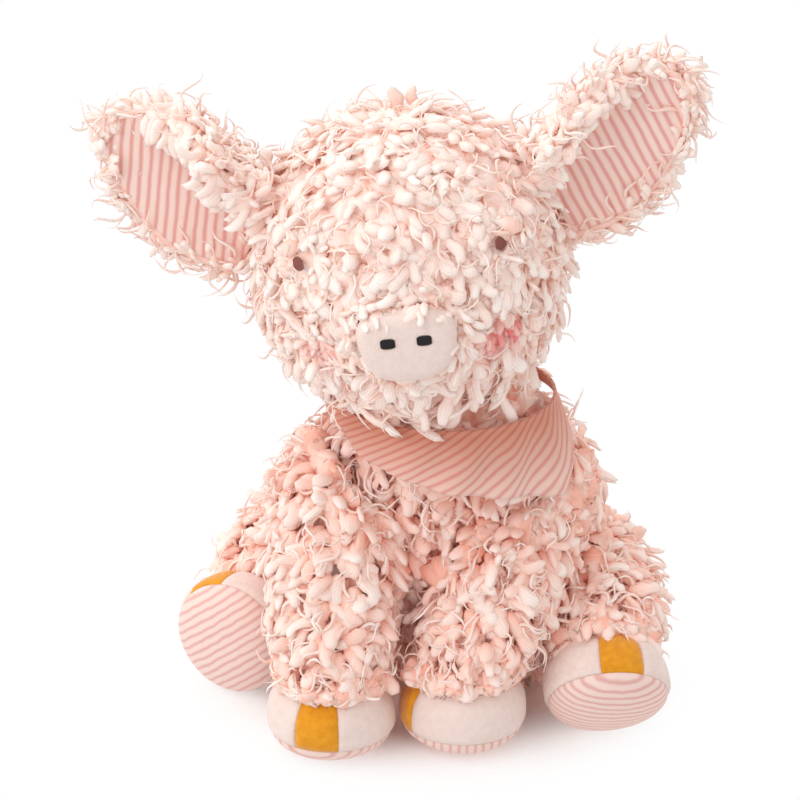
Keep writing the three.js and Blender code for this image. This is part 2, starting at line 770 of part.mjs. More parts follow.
const pig = new THREE.Group();
const bag = solidOf(pelletBagGeometry(0));
pig.add(
  named('torso_skin', torsoOuter.subtract(torsoCavity), fur),
  named('torso_stuffing', torsoCore.subtract(pelletPocket()), fibre),
  named('seat_pellet_bag', bag, calico),
  named('neckerchief', facingOut(kerchiefGeometry(0, kerchiefThickness)), stripedVelour),
  named('neckerchief_knot', knotSolid(), stripedVelour),
  named('tail', tail, paleVelvet),
  headGroup,
);
legs.flatMap(legMeshes).forEach((mesh) => pig.add(mesh));

export default pig;
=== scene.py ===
import math
import bpy
import numpy as np
from mathutils import Matrix, Vector
from mathutils.bvhtree import BVHTree


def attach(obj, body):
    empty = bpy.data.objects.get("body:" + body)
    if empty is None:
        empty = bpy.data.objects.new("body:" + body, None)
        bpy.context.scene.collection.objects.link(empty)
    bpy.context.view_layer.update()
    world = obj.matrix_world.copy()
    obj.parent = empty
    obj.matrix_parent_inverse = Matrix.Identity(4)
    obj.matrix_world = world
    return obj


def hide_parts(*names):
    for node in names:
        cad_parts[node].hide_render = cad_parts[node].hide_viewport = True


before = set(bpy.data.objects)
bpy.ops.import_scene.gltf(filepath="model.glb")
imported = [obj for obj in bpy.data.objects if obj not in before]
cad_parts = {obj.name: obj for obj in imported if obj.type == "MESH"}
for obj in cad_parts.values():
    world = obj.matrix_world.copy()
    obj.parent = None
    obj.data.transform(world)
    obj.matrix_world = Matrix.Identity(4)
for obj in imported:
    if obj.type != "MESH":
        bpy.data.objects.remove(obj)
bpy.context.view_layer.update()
scene = bpy.context.scene
MM = 0.001

# Fur pile
# The real coat is a long curly faux fur: leaf-like locks about a centimetre long, cream pink at the tips,
# with thin curls standing out. The salmon between the locks is shade, painted into their roots and into the
# hollows of the backing. The coat is sewn and turned, so the pile hides every seam. Each furry CAD skin gives
# way to a puffed backing and to the locks and curls rooted in it.


def linear(red, green, blue):
    """The shader's linear colour for one in 0 to 255 as seen on screen, the way all are given below."""
    c = np.array([red, green, blue]) / 255.0
    return (*np.where(c <= 0.04045, c / 12.92, ((c + 0.055) / 1.055) ** 2.4), 1.0)


WHITE = (255, 255, 255)


def cloth(name, rough, sheen, tint):
    """A new cloth material with its roughness and sheen. Returns it, its node tree and its shader."""
    mat = bpy.data.materials.new(name)
    mat.use_nodes = True
    tree = mat.node_tree
    shader = tree.nodes["Principled BSDF"]
    shader.inputs["Roughness"].default_value = rough
    shader.inputs["Specular IOR Level"].default_value = 0.2
    shader.inputs["Sheen Weight"].default_value = sheen
    shader.inputs["Sheen Roughness"].default_value = 0.45
    shader.inputs["Sheen Tint"].default_value = linear(*tint)
    return mat, tree, shader


def plain_cloth(name, rough, sheen, colour, tint=WHITE):
    """A cloth material of one colour."""
    mat, _, shader = cloth(name, rough, sheen, tint)
    shader.inputs["Base Color"].default_value = linear(*colour)
    return mat


def node(tree, kind, values=(), **props):
    """Adds a shader node of that kind, sets its properties by name and its inputs by index or name."""
    made = tree.nodes.new(f"ShaderNode{kind}")
    for key, value in props.items():
        setattr(made, key, value)
    for key, value in dict(values).items():
        if hasattr(value, "is_output"):
            tree.links.new(value, made.inputs[key])
        else:
            made.inputs[key].default_value = value
    return made


def ramp(tree, level, stops):
    """The colour for a level from 0 to 1, by stops of place and colour."""
    made = node(tree, "ValToRGB", {0: level})
    elements = made.color_ramp.elements
    while len(elements) < len(stops):
        elements.new(0.5)
    for element, (at, colour) in zip(elements, stops):
        element.position = at
        element.color = linear(*colour)
    return made.outputs[0]


def worked(tree, operation, *values):
    """One number worked out from others by a Math node."""
    return node(tree, "Math", dict(enumerate(values)), operation=operation).outputs[0]


def fur_material(name, root, middle, tip, blush):
    """Each lock's map holds its own tint across and root to tip upwards. The colour runs from root to tip,
    its darker salmon roots painted shade deep in the pile, is multiplied by blush as far as the tint says,
    and varies by 4% in fine strands, a sine of the tint."""
    mat, tree, shader = cloth(name, 0.95, 0.3, (255, 226, 214))
    uv = node(tree, "UVMap", uv_map="OFBake")
    xy = node(tree, "SeparateXYZ", {0: uv.outputs[0]})
    # Painted shade: the darker salmon root colour stands for the shade deep in the pile, at each lock's root
    # and in the fleece's hollows.
    up = ramp(tree, xy.outputs[1], [(0.0, root), (0.3, middle), (0.8, tip)])
    pinker = node(tree, "Mix", {6: up, 7: linear(*blush)}, data_type="RGBA", blend_type="MULTIPLY")
    tree.links.new(xy.outputs[0], pinker.inputs[0])
    strand = worked(tree, "SINE", worked(tree, "MULTIPLY", xy.outputs[0], 400.0))
    level = worked(tree, "MULTIPLY_ADD", strand, 0.04, 0.96)
    strands = node(tree, "VectorMath", {0: pinker.outputs[2], 3: level}, operation="SCALE")
    tree.links.new(strands.outputs[0], shader.inputs["Base Color"])
    return mat


# Root colours are painted shade deep in the pile, deeper on the body and the curls than on the head.
FUR_ROOT_SHADE = (255, 207, 190)
FUR_HEAD = fur_material("fur_head", (255, 224, 212), (255, 238, 230), (255, 245, 239), (255, 242, 238))
FUR_BODY = fur_material("fur_body", FUR_ROOT_SHADE, (255, 228, 216), (255, 241, 234), (255, 228, 220))
FUR_WISP = fur_material("fur_wisp", FUR_ROOT_SHADE, (255, 234, 224), (255, 243, 237), (255, 240, 235))


def points_of(mesh):
    """A mesh's points as an array of places."""
    flat = np.empty(len(mesh.vertices) * 3)
    mesh.vertices.foreach_get("co", flat)
    return flat.reshape(-1, 3)


def triangles(name):
    """A CAD node's points and triangles as arrays, points in one place joined."""
    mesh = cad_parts[name].data
    mesh.calc_loop_triangles()
    t = np.empty(len(mesh.loop_triangles) * 3, dtype=np.int64)
    mesh.loop_triangles.foreach_get("vertices", t)
    v, back = np.unique(np.round(points_of(mesh), 7), axis=0, return_inverse=True)
    t = back.reshape(-1)[t].reshape(-1, 3)
    t = t[(t[:, 0] != t[:, 1]) & (t[:, 1] != t[:, 2]) & (t[:, 0] != t[:, 2])]
    return v, t


def clear_of(points, normals, name, reach):
    """True where the way straight out of the surface meets nothing of a node within reach."""
    v, t = triangles(name)
    cast = BVHTree.FromPolygons(v.tolist(), t.tolist()).ray_cast
    hair = 1e-5
    starts = points + hair * normals
    return np.array([cast(Vector(p), Vector(n), reach)[0] is None for p, n in zip(starts, normals)])


def unit(a):
    """The vectors at length 1."""
    return a / np.maximum(np.linalg.norm(a, axis=-1, keepdims=True), 1e-12)


def face_normals(v, t):
    """Each triangle's normal, as long as twice its area."""
    return np.cross(v[t[:, 1]] - v[t[:, 0]], v[t[:, 2]] - v[t[:, 0]])


SKIN_THICK = 1.6 * MM


def outside_of(name, lining):
    """A skin's triangles that face outwards, so that no lining or stuffing lies a skin's thickness before
    them, and a soft normal for each point, the sum of its triangles' own."""
    v, t = triangles(name)
    n = face_normals(v, t)
    t = t[np.linalg.norm(n, axis=1) > 1e-12]
    n = unit(face_normals(v, t))
    centre = v[t].mean(axis=1)
    t = t[clear_of(centre, n, lining, SKIN_THICK)]
    soft = np.zeros_like(v)
    n = face_normals(v, t)
    for corner in range(3):
        np.add.at(soft, t[:, corner], n)
    return v, t, unit(soft)


def make(name, verts, faces, uv=None):
    """A mesh object from arrays; uv is one place per vertex, written to the map that the look reads."""
    mesh = bpy.data.meshes.new(name)
    mesh.vertices.add(len(verts))
    mesh.vertices.foreach_set("co", np.ascontiguousarray(verts, dtype=np.float32).ravel())
    size = faces.shape[1]
    mesh.loops.add(faces.size)
    mesh.loops.foreach_set("vertex_index", np.ascontiguousarray(faces, dtype=np.int32).ravel())
    mesh.polygons.add(len(faces))
    mesh.polygons.foreach_set("loop_start", np.arange(0, faces.size, size, dtype=np.int32))
    mesh.polygons.foreach_set("loop_total", np.full(len(faces), size, dtype=np.int32))
    mesh.update(calc_edges=True)
    if uv is not None:
        layer = mesh.uv_layers.new(name="OFBake")
        layer.data.foreach_set("uv", np.ascontiguousarray(uv[faces.ravel()], dtype=np.float32).ravel())
    mesh.polygons.foreach_set("use_smooth", np.full(len(faces), True))
    mesh.validate()
    ob = bpy.data.objects.new(name, mesh)
    scene.collection.objects.link(ob)
    return ob


def dressed(ob, look, body, piece=None):
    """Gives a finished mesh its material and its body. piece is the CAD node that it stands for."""
    ob.data.materials.append(look)
    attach(ob, body)
    if piece:
        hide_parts(piece)


def grown(ob, kind, **settings):
    """Adds a modifier, the same in the viewport and the render, and applies it."""
    mod = ob.modifiers.new(kind.lower(), kind)
    for key, value in settings.items():
        setattr(mod, key, value)
    with bpy.context.temp_override(object=ob, active_object=ob, selected_objects=[ob]):
        bpy.ops.object.modifier_apply(modifier=mod.name)


def grid_faces(rows, columns, closed=False):
    """Four-cornered faces of a grid of points in row order; closed joins the last column to the first."""
    r, c = np.meshgrid(np.arange(rows - 1), np.arange(columns - 1 + closed), indexing="ij")
    d = (c + 1) % columns
    a = r * columns
    return np.stack([a + c, a + d, a + columns + d, a + columns + c], -1).reshape(-1, 4)


def walled(ob, thick, closed=False):
    """Gives a cloth its thickness, inwards; where it is closed, its seam and its poles are joined first."""
    if closed:
        grown(ob, "WELD", merge_threshold=0.00001)
    grown(ob, "SOLIDIFY", thickness=thick, offset=-1)


def spread(v, t, soft, spacing, seed):
    """Places scattered by area, four to a square of that spacing, thinned to one in each cube of it, with
    the soft normal at each."""
    rng = np.random.default_rng(seed)
    area = np.linalg.norm(face_normals(v, t), axis=1) / 2
    count = int(area.sum() / spacing**2 * 4)
    pick = rng.choice(len(t), count, p=area / area.sum())
    a, b = np.sqrt(rng.random(count)), rng.random(count)
    w = np.stack([1 - a, a * (1 - b), a * b], axis=1)[:, :, None]
    p = (v[t[pick]] * w).sum(axis=1)
    n = unit((soft[t[pick]] * w).sum(axis=1))
    cell = np.floor(p / spacing + rng.random(3)).astype(np.int64)
    _, first = np.unique(cell, axis=0, return_index=True)
    return p[first], n[first]


def locks(root, normal, lay, rng, length, width, rings, sides, rise, curl, sway, waves, flat, blunt, roll):
    """Closed tapered blades, one per root, each of its own size and angles. The middle line leaves at the
    angle rise above the surface, leans over by curl and sways by a sine of that many waves. Half the width
    follows a bud: a quick swell, then a long taper to a point, or to a round end where blunt is above 0. The
    thickness is flat times the width, and roll twists the blade. Returns the points, rings of that many sides
    and then the two ends, the triangles and the map (tint, root to tip)."""
    count = len(root)
    side = unit(np.cross(normal, lay))
    lay = np.cross(side, normal)
    t = np.linspace(0, 1, rings + 2)
    size = rng.uniform(0.75, 1.3, (count, 1))
    up = rise + rng.normal(0, 0.28, (count, 1)) - (curl + rng.normal(0, 0.45, (count, 1))) * t[None] ** 1.3
    step = np.diff(t, prepend=0)[None] * length * size
    go = lay[:, None] * (np.cos(up) * step)[..., None] + normal[:, None] * (np.sin(up) * step)[..., None]
    phase = rng.uniform(0, 2 * np.pi, (count, 1))
    swing = np.sin(waves * 2 * np.pi * t[None] + phase) - np.sin(phase)
    swing = swing * sway * length * size * t[None] ** 0.7
    line = root[:, None] + np.cumsum(go, axis=1) + side[:, None] * swing[..., None]
    along = unit(np.gradient(line, axis=1))
    out = unit(np.cross(along, side[:, None]))
    across = np.cross(out, along)
    tilt = rng.normal(0, roll, (count, 1, 1)) + rng.normal(0, roll, (count, 1, 1)) * t[None, :, None]
    across, out = across * np.cos(tilt) + out * np.sin(tilt), out * np.cos(tilt) - across * np.sin(tilt)
    bud = np.sin(np.pi * (0.1 + (0.9 - blunt) * t[None]) ** 0.85) ** 0.7
    bud = bud * width / 2 * rng.uniform(0.7, 1.25, (count, 1))
    bud = bud * (1 + rng.normal(0, 0.12, bud.shape))
    turn = np.arange(sides) / sides * 2 * np.pi
    middle = slice(1, rings + 1)
    wide = (across * bud[..., None])[:, middle, None]
    thick = (out * bud[..., None] * flat)[:, middle, None]
    ring = line[:, middle, None] + wide * np.cos(turn)[:, None] + thick * np.sin(turn)[:, None]
    points = np.concatenate([ring.reshape(count, -1, 3), line[:, :1], line[:, -1:]], axis=1)
    per = rings * sides + 2
    k = np.arange(sides)
    j = (k + 1) % sides
    quads = grid_faces(rings, sides, closed=True)
    start = np.stack([np.full(sides, per - 2), j, k], 1)
    last = (rings - 1) * sides
    tip = np.stack([np.full(sides, per - 1), last + k, last + j], 1)
    tris = np.concatenate([quads[:, [0, 1, 2]], quads[:, [0, 2, 3]], start, tip])
    faces = (tris[None] + (np.arange(count) * per)[:, None, None]).reshape(-1, 3)
    tint = rng.uniform(0.05, 0.95, (count, 1))
    shade = np.concatenate([np.tile(np.cos(turn) * 0.04, rings), [0, 0]])
    share = np.concatenate([np.repeat(t[middle], sides), [0.0, 1.0]])
    uv = np.stack([shade + tint, np.tile(share, (count, 1))], axis=2).reshape(-1, 2)
    return points.reshape(-1, 3), faces, uv


def lock_points(style):
    """How many points one lock of that style has: its rings and its two ends."""
    return style["rings"] * style["sides"] + 2


def lay_of(points, normal, rng, wild, pull):
    """The way the pile lies at each root: down the surface along pull, turned by five sines that neighbours
    share, so that it gathers in tufts, and a little at random."""
    down = pull - normal * (normal @ pull)[:, None]
    down = unit(down + 0.15 * unit(rng.normal(size=normal.shape)))
    side = np.cross(normal, down)
    waves = np.sin(points @ rng.normal(0, 240, (3, 5)) + rng.uniform(0, 6, 5)).sum(axis=1)
    angle = (wild * (0.5 * waves + rng.normal(0, 0.35, len(normal))))[:, None]
    return unit(down * np.cos(angle) + side * np.sin(angle))


def without(points, faces, uv, per, bare):
    """Drops the locks, of per points each, of which any point lies where bare says so."""
    keep = ~bare(points).reshape(-1, per).any(axis=1)
    each = len(faces) // len(keep)
    some = np.repeat(keep, per)
    place = np.cumsum(some) - 1
    return points[some], place[faces.reshape(-1, each, 3)[keep].reshape(-1, 3)], uv[some]


HEAD_PLACE, HEAD_TURN, HEAD_TILT = (-0.003, -0.034, 0.157), math.radians(7), math.radians(-7)
HEAD_TO_TOY = Matrix.Translation(HEAD_PLACE)
HEAD_TO_TOY = HEAD_TO_TOY @ Matrix.Rotation(HEAD_TURN, 4, "Z") @ Matrix.Rotation(HEAD_TILT, 4, "Y")
OVAL = 2.6
EYE_ASIDE, EYE_UP, CHEEK_ASIDE, CHEEK_UP = 0.0308, 0.013, 0.0288, -0.015
EYE_HOLE_LEFT, EYE_HOLE_RIGHT, CHEEK_HOLE = 0.0022, 0.0034, 0.0040
MUZZLE_BARE_X, MUZZLE_BARE_Z, MUZZLE_BARE_UP, MUZZLE_BARE_Y = 0.0134, 0.0096, -0.0118, -0.046
PRESSED_BACK = 2.6 * MM


def placed(points, matrix):
    """The points carried by a placement matrix."""
    m = np.array(matrix)
    return points @ m[:3, :3].T + m[:3, 3]


def face_share(points):
    """1 in the middle of an eye or a cheek, where the fleece is pressed back, and 0 a little outside it."""
    x, y, z = placed(points, HEAD_TO_TOY.inverted()).T
    eyes = np.hypot(np.abs(x) - EYE_ASIDE, z - EYE_UP) / np.where(x < 0, EYE_HOLE_RIGHT, EYE_HOLE_LEFT)
    cheeks = np.hypot(np.abs(x) - CHEEK_ASIDE, z - CHEEK_UP) / CHEEK_HOLE
    return np.clip(1.6 - np.minimum(eyes, cheeks), 0, 1) * (y < 0)


def face_bare(points):
    """Where the snout, the eyes and the cheeks show: none of the head's own locks lies before them."""
    x, y, z = placed(points, HEAD_TO_TOY.inverted()).T
    oval = np.abs(x / MUZZLE_BARE_X) ** OVAL + np.abs((z - MUZZLE_BARE_UP) / MUZZLE_BARE_Z) ** OVAL
    return (oval < 1) & (y < MUZZLE_BARE_Y) | (face_share(points) > 0.6)


def fleece(ob, size, deep, seed, hollow=None):
    """Turns a smooth skin into soft puffs. It is divided three times and sinks by deep times the squared
    distance to the nearest of a Voronoi texture's cells, each about size wide, then again by cells 0.4 as
    wide. hollow gives where it is pressed back. The map holds a slow tint and how high the place lies, which
    paints shade into the hollows: the lower a place, the nearer the fur's root colour it takes."""
    grown(ob, "SUBSURF", subdivision_type="SIMPLE", levels=3, render_levels=3)
    flat = points_of(ob.data)
    for wide, depth in ((size, deep), (size * 0.4, deep * 0.35)):
        cells = bpy.data.textures.new(f"{ob.name}_cells", "VORONOI")
        cells.distance_metric = "DISTANCE_SQUARED"
        cells.noise_scale = wide
        grown(ob, "DISPLACE", texture=cells, strength=-depth, mid_level=0)
    sunk = points_of(ob.data)
    low = np.linalg.norm(sunk - flat, axis=1) / deep
    tint = 0.5 + 0.2 * np.sin(flat @ np.random.default_rng(seed).normal(0, 500, (3, 2))).sum(axis=1)
    at = np.empty(len(ob.data.loops), dtype=np.int32)
    ob.data.loops.foreach_get("vertex_index", at)
    layer = ob.data.uv_layers.new(name="OFBake")
    # Painted shade: the deeper a place is sunk, the nearer the fur's darker root colour it takes.
    layer.uv.foreach_set("vector", np.stack([tint, 0.95 - 1.5 * low], 1)[at].ravel())
    if hollow is not None:
        sunk[:, 1] += PRESSED_BACK * hollow(sunk)
        ob.data.vertices.foreach_set("co", sunk.ravel())


# The three shapes of lock.
PETAL = dict(rings=5, sides=6, rise=0.75, curl=1.15, sway=0.14, waves=0.8, flat=0.58, blunt=0.16, roll=0.3)
FLUFF = dict(rings=6, sides=5, rise=0.55, curl=0.9, sway=0.12, waves=0.8, flat=0.5, blunt=0.18, roll=0.2)
WISP = dict(rings=9, sides=4, rise=1.0, curl=1.7, sway=0.16, waves=1.0, flat=0.8, blunt=0, roll=0.5)
PILE_STEP = 1
PUFF_CROWN, BACKING_THICK, BACKING_FLOOR, LOCK_FLOOR = 1.5 * MM, 0.6 * MM, 0.3 * MM, 0.4 * MM
DROOP = np.array([0, -0.25, -1.0])


def coat(part, covers, look, shape, seed, inset, puffs, lock, spacing, wisps, longer, bare, hollow=None,
         deep=0.6 * MM):
    """Gives a body its coat in place of its CAD skin. The fleece lies inset under the skin's outside, with
    puffs of that width and depth, and the roots lie deep below it. lock is a lock's length and width, wisps
    the length, width and spacing of the curls. covers gives the pieces that lie on the pile, each with the
    height it needs clear, longer how much longer a lock is, bare where none lies and hollow where the puffs
    are pressed back."""
    rng = np.random.default_rng(seed)
    v, t, soft = outside_of(f"{part}_skin", f"{part}_stuffing")
    used, back = np.unique(t, return_inverse=True)
    base = make(f"{part}_fleece", (v - soft * (inset - PUFF_CROWN))[used], back.reshape(-1, 3))
    fleece(base, *puffs, seed, hollow)
    walled(base, BACKING_THICK)
    raised = points_of(base.data)
    raised[:, 2] = np.maximum(raised[:, 2], BACKING_FLOOR)
    base.data.vertices.foreach_set("co", raised.ravel())
    dressed(base, look, part)
    for kind, chance, every, spaced, size, wild, power, style, colour, piece in (
        ("pile", seed + 1, PILE_STEP, spacing, lock, 0.8, 1, shape, look, f"{part}_skin"),
        ("curls", seed + 2, 1, wisps[2], wisps, 1.6, 0.3, WISP, FUR_WISP, None),
    ):
        p, n = spread(v, t, soft, spaced, chance)
        free = np.all([clear_of(p, n, other, reach) for other, reach in covers.items()], axis=0)
        p, n = p[free][::every], n[free][::every]
        lay = lay_of(p, n, rng, wild, DROOP)
        length = size[0] * longer(p) ** power
        grow = locks(p - n * (inset + deep), n, lay, rng, length, size[1], **style)
        grow[0][:, 2] = np.maximum(grow[0][:, 2], LOCK_FLOOR)
        ob = make(f"{part}_{kind}", *without(*grow, lock_points(style), bare))
        dressed(ob, colour, part, piece)


def rising(value, start, run):
    """0 up to start, 1 from start plus run on, and straight in between."""
    return np.clip((value - start) / run, 0, 1)


def chin_longer(points):
    """The pile hangs longer under the chin, over the neckerchief's upper edge."""
    _, y, z = placed(points, HEAD_TO_TOY.inverted()).T
    return (1 + 0.9 * rising(-z, 0.027, 0.012) * rising(-y, -0.01, 0.02))[:, None]


def leg_shorter(points):
    """The pile is shorter round the ankle, just over the top of the foot, and on the outer hips."""
    x, _, z = points.T
    ankle = rising(-z, -0.045, 0.015)
    hip = rising(z, 0.045, 0.02) * rising(np.abs(x), 0.05, 0.01)
    return (1 - 0.2 * ankle - 0.35 * hip)[:, None]


def side_longer(points):
    """The pile stands longer on the upper left side of the body."""
    x, _, z = points.T
    return (1 + 0.7 * rising(z, 0.06, 0.02) * rising(x, 0.03, 0.015))[:, None]


VELVET_TOP, VELVET_BACK, VELVET_ASIDE = 0.0215, -0.052, 0.045
NECK = np.array([0.007, -0.024, 0.0])
NECK_REACH, NECK_LOW, NECK_BACK, NECK_RIGHT = 0.052, 0.101, -0.01, -0.012


def foot_bare(points):
    """Before the front feet, where the pile is combed up off the velvet."""
    x, y, z = points.T
    return (z < VELVET_TOP) & (y < VELVET_BACK) & (np.abs(x) < VELVET_ASIDE)


def neck_bare(points):
    """Round the front of the neck over the neckerchief, where the head and the cloth press the pile flat."""
    x, y, z = points.T
    near = np.hypot(x - NECK[0], y - NECK[1]) < NECK_REACH
    return near & (z > NECK_LOW) & (y < NECK_BACK) & (x > NECK_RIGHT)


LEGS = ["front_leg_left", "front_leg_right", "hind_leg_left", "hind_leg_right"]
LEG_SKINS = [f"{leg}_skin" for leg in LEGS]
BODY_PILE = dict(
    look=FUR_BODY, shape=PETAL, inset=3 * MM, puffs=(5 * MM, 6.5 * MM), lock=(10 * MM, 4.8 * MM),
    spacing=3.7 * MM,
)
coat(
    "torso", {"neckerchief": 5 * MM, "head_skin": 4 * MM, **dict.fromkeys(LEG_SKINS, 2 * MM)}, **BODY_PILE,
    seed=11, wisps=(13 * MM, 1.15 * MM, 5 * MM), longer=side_longer, bare=neck_bare,
)
coat(
    "head", {"torso_skin": 3 * MM}, FUR_HEAD, FLUFF, seed=12, inset=2.2 * MM, puffs=(5 * MM, 3.6 * MM),
    lock=(9 * MM, 4.8 * MM), spacing=4.1 * MM, wisps=(12 * MM, 0.9 * MM, 5.4 * MM),
    longer=chin_longer, bare=face_bare, hollow=face_share, deep=1.2 * MM,
)
for index, leg in enumerate(LEGS):
    others = ["torso_skin", f"{leg}_foot_upper"] + [skin for skin in LEG_SKINS if skin != f"{leg}_skin"]
    coat(
        leg, dict.fromkeys(others, 2 * MM), **BODY_PILE,
        seed=20 + index, wisps=(12 * MM, 1.15 * MM, 4.6 * MM), longer=leg_shorter, bare=foot_bare,
    )

# Ears
# Each ear is two cloths sewn together and turned: fur outside and striped velour inside. Its outer edge is
# rolled forward over the lining, by less towards the tip, and a fringe of pile hangs over it from the fold.
EAR_LENGTH, EAR_HALF, EAR_FOLD_RADIUS = 0.058, 0.025, 0.0055
EAR_FOLD_ANGLE, EAR_FOLD_START, EAR_FOLD_END, EAR_DISH = math.radians(150), 0.2, 0.8, 0.12
EAR_RISE = {1: math.radians(30), -1: math.radians(38)}
EAR_WIDTH_SHARES = np.array(
    [[0, .86], [.18, .96], [.38, 1], [.56, .88], [.72, .69], [.86, .47], [.96, .26], [1, .1]]
)
EAR_ASIDE, EAR_UP, EAR_SUNK = 0.046, 0.020, 0.005
EAR_ROWS, EAR_COLUMNS, EAR_MAP = 48, 40, 0.066
LINING_LEAN = {1: 0, -1: math.radians(-17)}
# One lock of the fringe for every so many places near the rolled edge, and how long the locks are.
FRINGE, FRINGE_ROWS = {1: (4, 8 * MM), -1: (2, 11 * MM)}, slice(1, 42)


def ear_points(out, run, lift):
    """The ear's cloth: out along it, run across it, lift above its front face. Past a fifth of the half
    width the cloth rolls forward round the fold, by an angle that fades to nothing at four fifths of the
    length. Inside the fold it is dished by the square of run."""
    fold = EAR_FOLD_ANGLE * np.maximum(0, 1 - out / EAR_FOLD_END) ** 0.8
    start = EAR_HALF * EAR_FOLD_START
    bend = np.maximum(fold, 0.001) * EAR_FOLD_RADIUS
    past = np.clip(run - start, 0, bend)
    angle = past / EAR_FOLD_RADIUS
    beyond = np.maximum(run - start - bend, 0)
    along = np.minimum(run, start) + EAR_FOLD_RADIUS * np.sin(angle) + beyond * np.cos(angle)
    forward = EAR_FOLD_RADIUS * (1 - np.cos(angle)) + beyond * np.sin(angle)
    dish = EAR_DISH * EAR_HALF * (run / EAR_HALF) ** 2 * (angle <= 0)
    before = -forward - dish - lift * np.cos(angle)
    return np.stack([out * EAR_LENGTH, before, along - lift * np.sin(angle)], -1)


def ear_sheet(side, lift, margin, reach):
    """One layer of an ear in the toy's frame, a margin inside its edge and as long as reach of it, as a grid
    with its flat places for the stripes and its faces."""
    out = np.linspace(0, reach, EAR_ROWS)
    half = EAR_HALF * np.interp(out, EAR_WIDTH_SHARES[:, 0], EAR_WIDTH_SHARES[:, 1])
    half = np.maximum(half - margin * (1 - 0.6 * out), 0.001)
    out = np.repeat(out[:, None], EAR_COLUMNS, 1)
    run = half[:, None] * np.linspace(-1, 1, EAR_COLUMNS)[None]
    points = ear_points(out, run, lift).reshape(-1, 3)
    points[:, 0] -= EAR_SUNK
    place = Matrix.Translation((side * EAR_ASIDE, 0, EAR_UP)) @ Matrix.Diagonal((side, 1, 1, 1))
    place = place @ Matrix.Rotation(-EAR_RISE[side], 4, "Y")
    flat = np.stack([(out * EAR_LENGTH).ravel(), run.ravel()], 1)
    faces = grid_faces(EAR_ROWS, EAR_COLUMNS)
    return placed(placed(points, place), HEAD_TO_TOY), flat, faces if side > 0 else faces[:, ::-1]


def striped_material(name, pitch, turn, bend, stops, depth=1.0):
    """Soft pink stripes on cream velour, drawn across the cloth's own flat map: a sine of that pitch and
    depth along the map turned by turn, strayed by noise that is finer with bend, and the velour's grain."""
    mat, tree, shader = cloth(name, 0.85, 0.35, (255, 238, 230))
    uv = node(tree, "UVMap", uv_map="OFBake")
    wander = node(tree, "TexNoise", {0: uv.outputs[0], "Scale": 26.0 * bend, "Detail": 2.0})
    stray = {0: wander.outputs["Color"], "Scale": pitch * 0.5}
    shift = node(tree, "VectorMath", stray, operation="SCALE")
    moved = node(tree, "VectorMath", {0: uv.outputs[0], 1: shift.outputs[0]}, operation="ADD")
    turned = node(tree, "Mapping", {0: moved.outputs[0], 2: (0, 0, turn)})
    xy = node(tree, "SeparateXYZ", {0: turned.outputs[0]})
    sine = worked(tree, "SINE", worked(tree, "MULTIPLY", xy.outputs[0], 2 * math.pi / pitch))
    half = worked(tree, "MULTIPLY_ADD", sine, 0.5 * depth, 0.5 * depth)
    pile = node(tree, "TexNoise", {0: uv.outputs[0], "Scale": 900.0, "Detail": 1.0})
    soft = worked(tree, "MULTIPLY_ADD", pile.outputs[0], 0.3, -0.15)
    tree.links.new(ramp(tree, worked(tree, "ADD", half, soft), stops), shader.inputs["Base Color"])
    return mat


def mapped(flat, size):
    """Flat places in metres as a map whose unit square is a cloth of that size."""
    return (flat - flat.min(axis=0)) / size


def swung(flat, angle):
    """The flat places turned by an angle."""
    return flat @ np.array([[math.cos(angle), -math.sin(angle)], [math.sin(angle), math.cos(angle)]])


